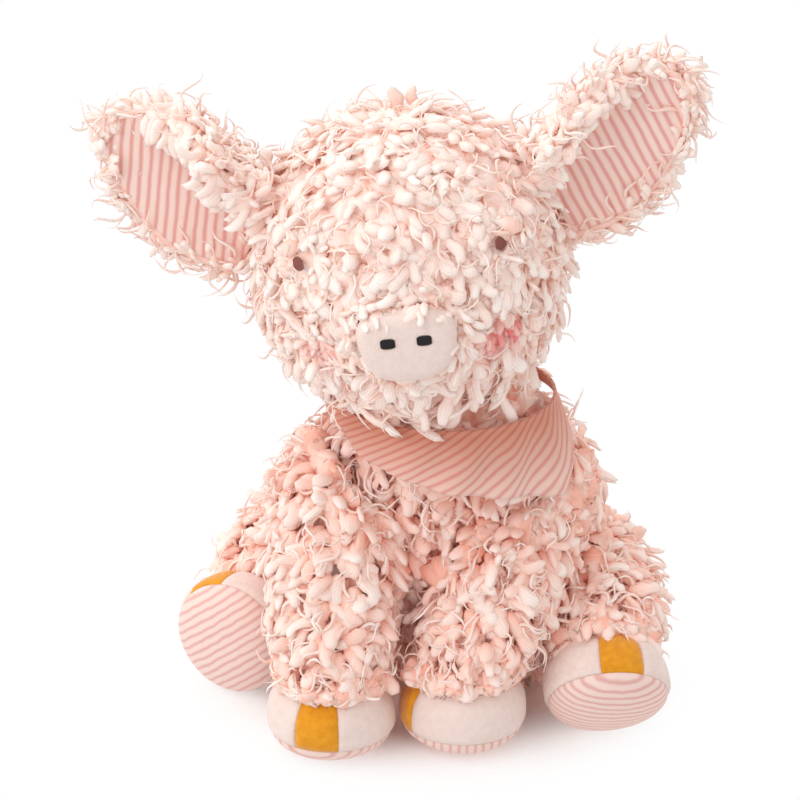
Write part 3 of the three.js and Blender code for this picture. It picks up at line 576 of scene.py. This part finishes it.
BACKING = plain_cloth("fur_backing", 0.95, 0.0, (250, 214, 202))
PALE_STRIPES = [(0.3, (244, 218, 208)), (0.7, (237, 193, 184)), (1.0, (226, 164, 157))]
EAR_VELOUR = striped_material("ear_velour", 0.047, math.radians(8), 0.2, PALE_STRIPES)
for side, part in ((1, "ear_left"), (-1, "ear_right")):
    back, front = f"ear_back_{part[4:]}", f"ear_lining_{part[4:]}"
    points, flat, faces = ear_sheet(side, lift=-0.0012, margin=0.0012, reach=0.985)
    base = make(f"{part}_backing", points, faces, mapped(flat, EAR_MAP))
    walled(base, thick=0.0022)
    dressed(base, BACKING, part)
    v, t, soft = outside_of(back, front)
    rng = np.random.default_rng(40 + side)
    rise = EAR_RISE[side]
    outward = np.array(HEAD_TO_TOY.to_3x3() @ Vector((side * math.cos(rise), 0, math.sin(rise))))
    for kind, every, spacing, seed, sunk, wild, length, width, style, look, piece in (
        ("pile", PILE_STEP, 2.6 * MM, 41, 2.2, 1.2, 7.5 * MM, 3.5 * MM, PETAL, FUR_HEAD, back),
        ("curls", 1, 3.9 * MM, 541, 1.5, 1.6, 13 * MM, 1.1 * MM, WISP, FUR_WISP, None),
    ):
        p, n = spread(v, t, soft, spacing, seed)
        p, n = p[::every], n[::every]
        lay = lay_of(p, n, rng, wild, outward)
        ob = make(f"{part}_{kind}", *locks(p - n * sunk * MM, n, lay, rng, length, width, **style))
        dressed(ob, look, part, piece)
    every, length = FRINGE[side]
    # The fringe is rooted by the rolled edge, faces forward and hangs across the lining.
    sheet = ear_sheet(side, lift=-0.0004, margin=0.0006, reach=0.985)[0].reshape(EAR_ROWS, EAR_COLUMNS, 3)
    root = sheet[FRINGE_ROWS, -5:].reshape(-1, 3)
    root = root[rng.permutation(len(root))[::every]]
    ahead = np.broadcast_to(np.array(HEAD_TO_TOY.to_3x3() @ Vector((0, -1, 0))), root.shape)
    across = unit(sheet[20, 2] - sheet[20, 20] + 0.1 * outward * EAR_HALF)
    away = lay_of(root, ahead, rng, 1.1, across)
    fringe = make(f"{part}_fringe", *locks(root, ahead, away, rng, length, 4 * MM, **PETAL))
    dressed(fringe, FUR_HEAD, part)
    points, flat, faces = ear_sheet(side, lift=0.0008, margin=0.0038, reach=0.94)
    lining = make(f"{part}_lining", points, faces, mapped(swung(flat, LINING_LEAN[side]), EAR_MAP))
    walled(lining, thick=0.0008)
    dressed(lining, EAR_VELOUR, part, piece=front)

# Neckerchief
# A triangle of the same striped velour, folded to a band, laid round the neck over the fur and knotted
# behind. Its point hangs over the left front leg, and soft folds run down from the neck.
NECK_TOP, NECK_RADIUS, FLARE = 0.108885, 0.0338, 0.0155
BAND_DROP, POINT_DROP, FULL_DROP = 0.005, 0.017, 0.022
HEM_SHARES = np.array([[-1, 0], [-.5, 0], [-.26, 0], [-.17, .3], [-.04, .54], [.1, .7], [.22, .86], [.31, 1],
                       [.38, .66], [.45, .32], [.54, 0], [.75, 0], [1, 0]])
KNOT_PLACE, KNOT_HALF_X, KNOT_HALF_Y, KNOT_HALF_Z = [0.007, 0.0144, 0.1064], 0.0072, 0.0043, 0.0058
KERCHIEF_ROWS, KERCHIEF_COLUMNS, KNOT_ROWS, KNOT_COLUMNS, KERCHIEF_MAP = 26, 240, 41, 57, 0.27


def kerchief_grid(lift):
    """The cloth as a cone round the neck that flares as it falls, each place an angle round it and a way
    down to its hem. Six folds, and fifteen creases in front, sines of the angle, deepen downwards."""
    share = np.linspace(-0.989, 0.989, KERCHIEF_COLUMNS)
    hem = np.interp(share, HEM_SHARES[:, 0], HEM_SHARES[:, 1])
    down = (BAND_DROP + POINT_DROP * hem)[None] * np.linspace(0, 1, KERCHIEF_ROWS)[:, None]
    angle = (share * math.pi)[None] + 0 * down
    front = np.exp(-((angle - 0.45) / 0.75) ** 2)
    fold = 0.0016 * np.sin(angle * 6) * down / FULL_DROP
    crease = 0.0013 * np.sin(angle * 15 + 260 * down + 0.8) * front * np.minimum(1, down / 0.008)
    radius = NECK_RADIUS + FLARE * (down / FULL_DROP) ** 1.3 + fold + crease + lift
    points = np.stack([radius * np.sin(angle), -radius * np.cos(angle), NECK_TOP - down], -1) + NECK
    flat = np.stack([angle * 0.042, -down * 1.25], -1)
    return points.reshape(-1, 3), flat.reshape(-1, 2), grid_faces(KERCHIEF_ROWS, KERCHIEF_COLUMNS)[:, ::-1]


def kerchief_material():
    """The striped velour in deeper pinks, with a painted shadow of the chin that darkens its upper edge."""
    stripes = [(0.3, (230, 198, 185)), (0.7, (225, 181, 170)), (1.0, (217, 153, 145))]
    mat = striped_material("kerchief_velour", 0.0096, math.radians(58), 1.0, stripes)
    tree = mat.node_tree
    colour = tree.nodes["Principled BSDF"].inputs["Base Color"]
    xy = node(tree, "SeparateXYZ", {0: node(tree, "UVMap", uv_map="OFBake").outputs[0]})
    # Painted shadow: the cloth darkens towards its upper edge, where the chin shades it.
    shade = ramp(tree, xy.outputs[1], [(0.02, WHITE), (0.09, (228, 186, 168))])
    striped = colour.links[0].from_socket
    both = {0: 1.0, 6: striped, 7: shade}
    shaded = node(tree, "Mix", both, data_type="RGBA", blend_type="MULTIPLY")
    tree.links.new(shaded.outputs[2], colour)
    return mat


KERCHIEF_VELOUR = kerchief_material()
points, flat, faces = kerchief_grid(lift=0.0022)
kerchief = make("neckerchief_cloth", points, faces, mapped(flat, KERCHIEF_MAP))
walled(kerchief, thick=0.0009)
dressed(kerchief, KERCHIEF_VELOUR, "torso", piece="neckerchief")


def knot_grid():
    """The knot: an egg of latitude rise and longitude turn, drawn in along the slanting line where one end
    passes over the other, with five shallow folds round it."""
    rise, turn = np.meshgrid(
        np.linspace(-np.pi / 2, np.pi / 2, KNOT_ROWS), np.linspace(0, 2 * np.pi, KNOT_COLUMNS), indexing="ij"
    )
    drawn = 0.09 * np.exp(-((3.2 * np.sin(rise + 0.5 * np.cos(turn))) ** 2))
    wrap = 1 - drawn + 0.025 * np.cos(rise) * np.sin(5 * turn + 4 * rise)
    egg = np.stack([
        KNOT_HALF_X * np.cos(rise) * np.cos(turn),
        KNOT_HALF_Y * np.cos(rise) * np.sin(turn),
        KNOT_HALF_Z * np.sin(rise),
    ], -1)
    flat = np.stack([turn * KNOT_HALF_Z, rise * KNOT_HALF_Z], -1)
    return (egg * wrap[..., None]).reshape(-1, 3) + KNOT_PLACE, flat.reshape(-1, 2)


points, flat = knot_grid()
knot = make("neckerchief_knot_cloth", points, grid_faces(KNOT_ROWS, KNOT_COLUMNS), mapped(flat, KERCHIEF_MAP))
grown(knot, "WELD", merge_threshold=0.00001)
# The knot shares the cloth's painted shadow, which darkens it towards its top.
dressed(knot, KERCHIEF_VELOUR, "torso", "neckerchief_knot")

# Feet
# Each foot is a stuffed velvet ball: a pale upper with a mustard wedge let in over the toe, and a striped
# sole. The seams pull in where the cloths meet, and the pile of the leg hangs over the top of the foot.
FOOT_RADIUS, FOOT_HEIGHT, SEAM_SHARE, FOOT_ROWS = 0.0205, 0.027, 0.70, 90
FOOT_PROFILE = np.array(
    [[0, 0], [0, .4], [.1, .72], [.3, .94], [.52, 1], [.7, .97], [.87, .77], [.97, .42], [1, 0]]
)
SEAM_WIDTH, SEAM_DEPTH, FOOT_FLOOR, FOOT_SUNK, FOOT_MAP = 0.0011, 0.0006, 0.0001, 0.0004, 0.045
WEDGE_HALF = math.radians(21)
# Each foot's place on the floor, the ways that its sole and its toe face, and the angle of its stripes.
FEET = {
    "front_leg_left": ((0.01824, -0.05577), (0, 0, -1), (-0.93, -0.37, 0), 0.2),
    "front_leg_right": ((-0.0228, -0.06708), (0, 0, -1), (-0.07, -1, 0), 0.1),
    "hind_leg_left": ((0.06336, -0.04524), (0.19, -0.75, -0.63), (0.3, -0.55, 0.78), 0.05),
    "hind_leg_right": ((-0.06072, -0.02964), (-0.32, -0.95, -0.05), (-0.5, 0, 0.86), 0.14),
}


def smooth_line(points, count):
    """A Catmull-Rom curve through the points, at even steps of its length."""
    p = np.asarray(points, dtype=float)
    p = np.concatenate([[2 * p[0] - p[1]], p, [2 * p[-1] - p[-2]]])
    t = np.linspace(0, 1, 12, endpoint=False)[:, None]
    bits = [
        0.5 * (2 * b + (c - a) * t + (2 * a - 5 * b + 4 * c - d) * t**2 + (3 * b - a - 3 * c + d) * t**3)
        for a, b, c, d in zip(p[:-3], p[1:-2], p[2:-1], p[3:])
    ]
    fine = np.concatenate([*bits, p[-2:-1]])
    far = np.concatenate([[0], np.cumsum(np.linalg.norm(np.diff(fine, axis=0), axis=1))])
    at = np.linspace(0, far[-1], count)
    return np.stack([np.interp(at, far, column) for column in fine.T], 1)


def velvet_material(name, dark, light):
    """Short velvet: two shades mottled by noise on the piece's own place, and a finer noise as its nap."""
    mat, tree, shader = cloth(name, 0.8, 0.5, (255, 246, 240))
    place = node(tree, "TexCoord")
    noise = node(tree, "TexNoise", {0: place.outputs["Object"], "Scale": 420.0, "Detail": 4.0})
    tree.links.new(ramp(tree, noise.outputs[0], [(0.3, dark), (0.7, light)]), shader.inputs["Base Color"])
    fine = node(tree, "TexNoise", {0: place.outputs["Object"], "Scale": 1500.0, "Detail": 1.0})
    bump = node(tree, "Bump", {"Height": fine.outputs[0], "Strength": 0.6, "Distance": 0.0004})
    tree.links.new(bump.outputs[0], shader.inputs["Normal"])
    return mat


PALE_VELVET = velvet_material("pale_velvet", (228, 207, 199), (236, 216, 208))
MUSTARD_VELVET = velvet_material("mustard_velvet", (216, 140, 16), (230, 156, 30))
SOLE_STRIPES = [(0.3, (238, 211, 202)), (0.7, (228, 186, 178)), (1.0, (214, 154, 148))]
SOLE_VELOUR = striped_material("sole_velour", 0.059, 0.0, 0.3, SOLE_STRIPES, 0.85)
PROFILE = smooth_line(FOOT_PROFILE * [FOOT_HEIGHT, FOOT_RADIUS], FOOT_ROWS)


def foot_patch(foot, angles, rows, sewn, columns):
    """Part of the foot between two angles about its axis and two rows of its profile. Each sewn edge, of
    its first row, its last row and its two sides, sinks by a bell of its distance, and three waves round it
    puff the cloth."""
    centre, down, toe, side = foot
    profile = PROFILE[rows[0]:rows[1]]
    angle = np.linspace(*angles, columns)
    rim = np.full((len(profile), columns), 1.0)
    along = np.concatenate([[0], np.cumsum(np.linalg.norm(np.diff(profile, axis=0), axis=1))])[:, None]
    beside = np.minimum(angle - angles[0], angles[1] - angle)[None] * profile[:, 1:]
    for closed, gap in zip(sewn, (along, along[-1] - along, beside)):
        if closed:
            rim = np.minimum(rim, 1 - np.exp(-((gap / SEAM_WIDTH) ** 2)))
    puff = (rim - 1) * SEAM_DEPTH
    bump = 0.00025 * np.sin(3 * angle)[None] * np.sin(along * 260) * rim
    radius = np.maximum(profile[:, 1:] + puff + bump, 1e-6)
    depth = profile[:, :1] - FOOT_HEIGHT / 2 + 0 * radius
    flat = np.stack([radius * np.cos(angle), radius * np.sin(angle)], -1)
    points = centre + depth[..., None] * down + flat[..., :1] * toe + flat[..., 1:] * side
    points[..., 2] = np.maximum(points[..., 2], FOOT_FLOOR)
    return points.reshape(-1, 3), flat.reshape(-1, 2), grid_faces(len(profile), columns)


# The upper runs from a small hole inside the leg to the sole's seam, whose row lies out at the foot's side.
HOLE_ROW, OUT_AT_SIDE = 4, 0.015
off_seam = np.abs(PROFILE[:, 0] - SEAM_SHARE * FOOT_HEIGHT) + (PROFILE[:, 1] < OUT_AT_SIDE)
seam_row = int(np.argmin(off_seam))
upper_rows = (HOLE_ROW, seam_row + 1)
round_foot, over_toe = (WEDGE_HALF, 2 * np.pi - WEDGE_HALF), (-WEDGE_HALF, WEDGE_HALF)
for leg, (spot, sole, toe, stripe) in FEET.items():
    down = unit(np.array(sole))
    toe = unit(toe - down * (toe @ down))
    side = np.cross(down, toe)
    reach = np.hypot(toe[2], side[2])
    lowest = (down[2] * (PROFILE[:, 0] - FOOT_HEIGHT / 2) - PROFILE[:, 1] * reach).min()
    foot = (np.array([*spot, -FOOT_SUNK - lowest]), down, toe, side)
    for piece, angles, rows, sewn, columns, look, slot in (
        ("foot_upper", round_foot, upper_rows, (0, 1, 1), 120, PALE_VELVET, "pale_velvet"),
        ("toe_wedge", over_toe, upper_rows, (0, 1, 1), 28, MUSTARD_VELVET, "mustard_velvet"),
        ("sole", (0, 2 * np.pi), (seam_row, FOOT_ROWS), (1, 0, 0), 129, SOLE_VELOUR, "striped_velour"),
    ):
        points, flat, faces = foot_patch(foot, angles, rows, sewn, columns)
        ob = make(f"{leg}_{piece}_cloth", points, faces, mapped(swung(flat, stripe), FOOT_MAP))
        walled(ob, thick=0.0011, closed=True)
        dressed(ob, look, leg, f"{leg}_{piece}")

# Snout, eyes and cheeks
# The snout is a stuffed oval pad of pale velvet with a seam round its front face. Nostrils and eyes are satin
# stitch, rows of parallel threads. The cheeks are pink spots. They and the eyes lie in dimples of the pile.
SNOUT_HALF_X, SNOUT_HALF_Z, SNOUT_Z, SNOUT_Y, SNOUT_DEPTH = 0.0149, 0.0116, -0.011, -0.054, 0.007
SNOUT_ROWS, SNOUT_COLUMNS, SNOUT_SPREAD = 60, 97, 0.1
RIM_HALF_X, RIM_HALF_Z, RIM_LOCKS, RIM_LEAN, RIM_FREE = 0.0154, 0.0124, 190, 90, 0.009
HEAD_HALF_X, HEAD_HALF_Y, HEAD_HALF_Z = 0.05, 0.046, 0.049
NOSTRIL_ASIDE, NOSTRIL_RISE = 0.0055, 0.0024
NOSTRIL_HALF_X, NOSTRIL_HALF_Z, NOSTRIL_THREAD = 0.0024, 0.0018, 0.00022
EYE_HALF_X, EYE_HALF_Z, EYE_THREAD, EYE_PROUD = 0.0018, 0.0023, 0.00024, 0.0007


def rings_round(lines, sides, aside):
    """Rings of radius 1 round each point of the lines and square to them, the first side square to aside."""
    along = unit(np.gradient(lines, axis=-2))
    first = unit(np.cross(along, aside))
    second = np.cross(along, first)
    turn = (np.arange(sides) / sides * 2 * np.pi)[:, None]
    return first[..., None, :] * np.cos(turn) + second[..., None, :] * np.sin(turn)


def tubes(lines, radius, sides=6):
    """Threads: a closed round tube along each line of points, all but shut at its two ends."""
    count, steps = lines.shape[:2]
    taper = np.ones((steps, 1, 1))
    taper[[0, -1]] = 0.02
    points = lines[:, :, None] + rings_round(lines, sides, [0.31, 0.17, 0.93]) * radius * taper
    one = grid_faces(steps, sides, closed=True)
    faces = (one[None] + (np.arange(count) * steps * sides)[:, None, None]).reshape(-1, 4)
    return points.reshape(-1, 3), faces


def satin(part, surface, centre, half_x, half_z, radius, square, look, slot, proud=0):
    """Upright threads side by side over an oval, squarer as square grows from 2. Each bows out of the
    surface by its thickness, as the fourth power of its way from the middle falls."""
    count = int(round(2 * half_x / (1.7 * radius)))
    x = np.linspace(-1, 1, count + 2)[1:-1]
    way = np.linspace(-1, 1, 9)
    z = (1 - np.abs(x) ** square)[:, None] ** (1 / square) * way[None]
    across = centre[0] + half_x * (x[:, None] + 0 * z)
    up = centre[1] + half_z * z
    lines = surface(across, up, 0.9 * radius * (1 - way**4)[None] + 0.2 * radius + proud)
    points, faces = tubes(lines, radius)
    ob = make(f"{part}_stitch", placed(points, HEAD_TO_TOY), faces)
    dressed(ob, look, "head", piece=part)


BLACK_THREAD = plain_cloth("black_thread", 0.45, 0.2, (38, 32, 34))
BROWN_THREAD = plain_cloth("brown_thread", 0.5, 0.2, (140, 84, 74))
CROPPED = plain_cloth("fur_cropped", 0.95, 0.1, (255, 222, 208), (255, 230, 220))
FUR_BLUSH = fur_material("fur_blush", FUR_ROOT_SHADE, (255, 226, 213), (255, 238, 229), (238, 128, 132))
SNOUT_POINTS = [[0, 1], [.3, .99], [.62, .96], [.82, .86], [.93, .7], [.985, .45], [1, .1], [1, -1]]
SNOUT_OUT, SNOUT_FORWARD = smooth_line(SNOUT_POINTS, SNOUT_ROWS).T


def snout_front(across, up, lift):
    """The pad's domed front in the head's frame: how far forward it stands at a place across and up it."""
    high = (up - SNOUT_Z) / SNOUT_HALF_Z
    wide = np.abs(across / SNOUT_HALF_X / (1 + SNOUT_SPREAD * high))
    share = (wide ** OVAL + np.abs(high) ** OVAL) ** (1 / OVAL)
    dome = np.interp(share, SNOUT_OUT, SNOUT_FORWARD)
    return np.stack([across, SNOUT_Y + SNOUT_DEPTH * (1 - dome) - lift, up], -1)


def snout_grid():
    """The pad: its profile, out and forward, carried round a squarish oval that widens upwards. The seam's
    groove, a bell of the distance to it, runs round the front, and three slight lumps round the pad."""
    turn = np.linspace(0, 2 * np.pi, SNOUT_COLUMNS)
    before = SNOUT_FORWARD > 0.3
    seam = 1 - 0.018 * np.exp(-(((SNOUT_OUT - 0.955) / 0.02) ** 2)) * before
    wide = (SNOUT_OUT * seam)[:, None]
    dip = 0.0002 * np.exp(-(((SNOUT_OUT - 0.95) / 0.03) ** 2)) * before
    corner = (np.abs(np.cos(turn)) ** OVAL + np.abs(np.sin(turn)) ** OVAL) ** (-1 / OVAL)
    lump = (1 + 0.008 * np.sin(3 * turn + 0.6)[None] * wide) * corner
    return np.stack([
        SNOUT_HALF_X * wide * np.cos(turn) * lump * (1 + SNOUT_SPREAD * wide * np.sin(turn) * lump),
        (SNOUT_Y + SNOUT_DEPTH * (1 - SNOUT_FORWARD) + dip)[:, None] + 0 * wide * turn,
        SNOUT_Z + SNOUT_HALF_Z * wide * np.sin(turn) * lump,
    ], -1).reshape(-1, 3)


faces = grid_faces(SNOUT_ROWS, SNOUT_COLUMNS)[:, ::-1]
snout = make("snout_cloth", placed(snout_grid(), HEAD_TO_TOY), faces)
walled(snout, thick=0.0010, closed=True)
dressed(snout, PALE_VELVET, "head", "snout_pad")
for side, part in ((1, "nostril_left"), (-1, "nostril_right")):
    place = (side * NOSTRIL_ASIDE, SNOUT_Z + NOSTRIL_RISE)
    sizes = (NOSTRIL_HALF_X, NOSTRIL_HALF_Z, NOSTRIL_THREAD, 3)
    satin(part, snout_front, place, *sizes, BLACK_THREAD, "black_thread")


def head_front(across, up, lift):
    """The head's egg in its own frame, sunk so far that the stitches lie down in the pile."""
    rim = np.sqrt(np.maximum(1 - (across / HEAD_HALF_X) ** 2 - (up / HEAD_HALF_Z) ** 2, 0))
    return np.stack([across, -HEAD_HALF_Y * rim - lift + 0 * up, up + 0 * across], -1)


DIMPLE_RADIUS, DIMPLE_ROWS, DIMPLE_COLUMNS, DIMPLE_TRIES = 0.0075, 12, 33, 170


def dimple(name, side, up, aside, radius, short, strength, look, piece=None):
    """A dimple in the pile of the face: a disc of backing that rises by the square of its radius, and locks
    round it, shorter and combed outwards where short is the part of it left open. Their tint falls from
    strength at the middle by a bell."""
    share = np.linspace(0, 1, DIMPLE_ROWS)[:, None]
    angle = np.linspace(0, 2 * np.pi, DIMPLE_COLUMNS)[None]
    across = side * aside + DIMPLE_RADIUS * share * np.cos(angle)
    high = up + DIMPLE_RADIUS * share * np.sin(angle)
    disc = head_front(across, high, -0.0016 - 0.0014 * share**2).reshape(-1, 3)
    bed = make(f"{name}_bed", placed(disc, HEAD_TO_TOY), grid_faces(DIMPLE_ROWS, DIMPLE_COLUMNS)[:, ::-1])
    walled(bed, thick=0.0006, closed=True)
    dressed(bed, CROPPED, "head")
    rng = np.random.default_rng(60 + side)
    at = rng.uniform(-1, 1, (DIMPLE_TRIES, 2))
    far = np.hypot(*at.T)
    at = at[(far < 1) & (far > short)]
    x, z = side * aside + radius * at[:, 0], up + radius * at[:, 1]
    rim = np.sqrt(1 - (x / HEAD_HALF_X) ** 2 - (z / HEAD_HALF_Z) ** 2)
    out = unit(np.stack([x / HEAD_HALF_X**2, -rim / HEAD_HALF_Y, z / HEAD_HALF_Z**2], 1))
    root = np.stack([x, -HEAD_HALF_Y * rim, z], 1) - out * 0.0026
    lay = lay_of(root, out, rng, 0.8, np.array([0, -0.2, -1.0]))
    if short:
        lay = unit(lay * 0.3 + np.stack([at[:, 0], 0 * at[:, 0], at[:, 1]], 1))
    points, faces, uv = locks(root, out, lay, rng, (6.5 - 2 * (short > 0)) * MM, 3 * MM, **FLUFF)
    if strength:
        tint = np.exp(-((np.hypot(*at.T) / 0.8) ** 2)) * strength
        uv[:, 0] = uv[:, 0] * 0.06 + np.repeat(tint, lock_points(FLUFF)) * 0.93
    tuft = make(f"{name}_tuft", placed(points, HEAD_TO_TOY), faces, uv)
    dressed(tuft, look, "head", piece)


def snout_rim():
    """The locks round the pad's edge, at angles by chance on an oval a little wider than the pad. They
    droop, and above the pad they lean in over it."""
    rng = np.random.default_rng(70)
    angle = np.sort(rng.uniform(0, 2 * np.pi, RIM_LOCKS))
    x = RIM_HALF_X * np.sign(np.cos(angle)) * np.abs(np.cos(angle)) ** 0.8
    z = SNOUT_Z + RIM_HALF_Z * np.sign(np.sin(angle)) * np.abs(np.sin(angle)) ** 0.8
    out = unit(np.stack([x, 0 * x - 0.03, z - SNOUT_Z], 1))
    root = head_front(x, z, rng.uniform(-0.002, 0.0035, len(x)))
    inward = np.stack([-x, 0 * x, SNOUT_Z - z], 1) * (z > SNOUT_Z - RIM_FREE)[:, None] * RIM_LEAN
    lay = unit(lay_of(root, out, rng, 0.8, np.array([0, -0.3, -1.0])) + inward)
    return locks(root, out, lay, rng, 7 * MM, 3.2 * MM, **FLUFF)


points, faces, uv = snout_rim()
rim = make("snout_rim", placed(points, HEAD_TO_TOY), faces, uv)
dressed(rim, FUR_HEAD, "head")

for side, part, opening, strength in ((1, "left", 0.2, 1.0), (-1, "right", 0.46, 0.55)):
    dimple(f"eye_{part}", side, EYE_UP, EYE_ASIDE, 0.0062, opening, 0, FUR_HEAD)
    place, sizes = (side * EYE_ASIDE, EYE_UP), (EYE_HALF_X, EYE_HALF_Z, EYE_THREAD, 2)
    satin(f"eye_{part}", head_front, place, *sizes, BROWN_THREAD, "brown_thread", EYE_PROUD)
    name = f"cheek_{part}"
    dimple(name, side, CHEEK_UP, CHEEK_ASIDE, 0.0055, 0, strength, FUR_BLUSH, name)

# Tail
# A thin tube of velvet, stuffed and sewn at the back of the seat, that curls once and a quarter round on
# its way out and thins towards its round tip.
TAIL_ROOT_Y, TAIL_ROOT_Z, TAIL_LENGTH = 0.033, 0.030, 0.0276
TAIL_CURL, TAIL_RADIUS, TAIL_TURNS = 0.008, 0.0045, 1.25
TAIL_STEPS, TAIL_SIDES = 90, 24


def tail_grid():
    """A ring carried along a helix about the backward axis, whose curl is full after a third of the way."""
    share = np.linspace(0, 1, TAIL_STEPS)
    angle = share * 2 * TAIL_TURNS * np.pi
    curl = TAIL_CURL * np.minimum(1, share * 3)
    across, up = curl * np.sin(angle), curl * (1 - np.cos(angle))
    line = np.stack([across, TAIL_ROOT_Y + share * TAIL_LENGTH, TAIL_ROOT_Z + up], 1)
    radius = TAIL_RADIUS * (1 - 0.55 * share) * np.minimum(1, np.sqrt(np.maximum((1 - share) * 25, 0.0001)))
    ring = rings_round(line, TAIL_SIDES, [1.0, 0, 0])
    return (line[:, None] + ring * radius[:, None, None]).reshape(-1, 3)


tail = make("tail_cloth", tail_grid(), grid_faces(TAIL_STEPS, TAIL_SIDES, closed=True)[:, ::-1])
dressed(tail, PALE_VELVET, "tail", "tail")

# Fillings
# Loose polyester fibre fills the body, head and legs, and a calico bag of plastic pellets weights the seat.
# They are hidden, and have the shape of their CAD nodes.
FIBRE = plain_cloth("fibre", 1.0, 0.3, (244, 242, 236))
CALICO = plain_cloth("calico", 0.95, 0.1, (230, 220, 196))
fills = [("torso_stuffing", "torso"), ("head_stuffing", "head"), ("seat_pellet_bag", "torso")]
for name, body in fills + [(f"{leg}_stuffing", leg) for leg in LEGS]:
    look, slot = (CALICO, "pellet_bag_cloth") if name == "seat_pellet_bag" else (FIBRE, "stuffing")
    dressed(make(f"{name}_fill", *triangles(name)), look, body, name)

# Camera, light and floor
# The photograph is a studio shot on plain white: a long lens from a little to the toy's left and 22 degrees
# above, broad soft light from the upper left and front, and a faint soft shadow at the floor.
AZIMUTH, ELEVATION = math.radians(9), math.radians(22)
DISTANCE, AIM_RIGHT, AIM_UP, LENS = 1.113, -0.0109, 0.0879, 147.3
right = Vector((math.cos(AZIMUTH), math.sin(AZIMUTH), 0))
ahead = math.cos(ELEVATION)
toward = Vector((-math.sin(AZIMUTH) * ahead, math.cos(AZIMUTH) * ahead, -math.sin(ELEVATION)))
upward = right.cross(toward)
target = right * AIM_RIGHT + upward * AIM_UP
camera = bpy.data.objects.new("camera", bpy.data.cameras.new("camera"))
camera.data.lens = LENS
camera.data.sensor_width = 36
facing = Matrix((right, upward, -toward)).transposed().to_4x4()
camera.matrix_world = Matrix.Translation(target - toward * DISTANCE) @ facing
scene.collection.objects.link(camera)
scene.camera = camera


def area_light(name, place, size, power):
    """A round soft light that faces the toy's chest."""
    data = bpy.data.lights.new(name, "AREA")
    data.shape = "DISK"
    data.size = size
    data.energy = power
    ob = bpy.data.objects.new(name, data)
    ob.location = place
    ob.rotation_mode = "QUATERNION"
    ob.rotation_quaternion = (Vector((0, -0.02, 0.1)) - Vector(place)).to_track_quat("-Z", "Y")
    scene.collection.objects.link(ob)


area_light("key", (-1.15, -0.75, 1.05), size=2.2, power=14.2)
area_light("top", (-0.2, 0.4, 1.5), size=1.2, power=5.0)


def studio_world():
    """The room's light: soft and warm on the toy, and plain white where the camera sees past it."""
    world = bpy.data.worlds.new("studio")
    world.use_nodes = True
    tree = world.node_tree
    glow = tree.nodes["Background"]
    glow.inputs["Color"].default_value = (1.0, 0.985, 0.975, 1)
    glow.inputs["Strength"].default_value = 0.91
    white = node(tree, "Background", {0: (1, 1, 1, 1), 1: 1.0})
    rays = node(tree, "LightPath")
    seen = rays.outputs["Is Camera Ray"]
    mixed = node(tree, "MixShader", {0: seen, 1: glow.outputs[0], 2: white.outputs[0]})
    tree.links.new(mixed.outputs[0], tree.nodes["World Output"].inputs["Surface"])
    return world


def floor_material():
    """Matt white paper under the toy, which clears to nothing in a ring round it."""
    mat, tree, shader = cloth("floor", 1, 0, WHITE)
    shader.inputs["Base Color"].default_value = (0.97, 0.965, 0.96, 1)
    shader.inputs["Specular IOR Level"].default_value = 0
    place = node(tree, "TexCoord")
    apart = {0: place.outputs["Object"], 1: (0, -0.01, 0)}
    far = node(tree, "VectorMath", apart, operation="DISTANCE")
    ring = {0: far.outputs["Value"], 1: 0.04, 2: 0.092, 3: 0.0, 4: 1.0}
    fade = node(tree, "MapRange", ring, interpolation_type="SMOOTHSTEP")
    clear = node(tree, "BsdfTransparent")
    blend = node(tree, "MixShader", {0: fade.outputs[0], 1: shader.outputs[0], 2: clear.outputs[0]})
    tree.links.new(blend.outputs[0], tree.nodes["Material Output"].inputs["Surface"])
    return mat


scene.world = studio_world()
FLOOR_RADIUS, FLOOR_SIDES = 0.6, 96
k = np.arange(FLOOR_SIDES)
turn = k / FLOOR_SIDES * 2 * np.pi
disc = np.concatenate([[[0, 0, 0]], np.stack([np.cos(turn), np.sin(turn), 0 * turn], 1) * FLOOR_RADIUS])
floor = make("floor", disc, np.stack([0 * k, 1 + k, 1 + (k + 1) % FLOOR_SIDES], 1))
floor.data.materials.append(floor_material())

scene.view_settings.view_transform = "Standard"
scene.cycles.max_bounces = 16
scene.cycles.diffuse_bounces = 12
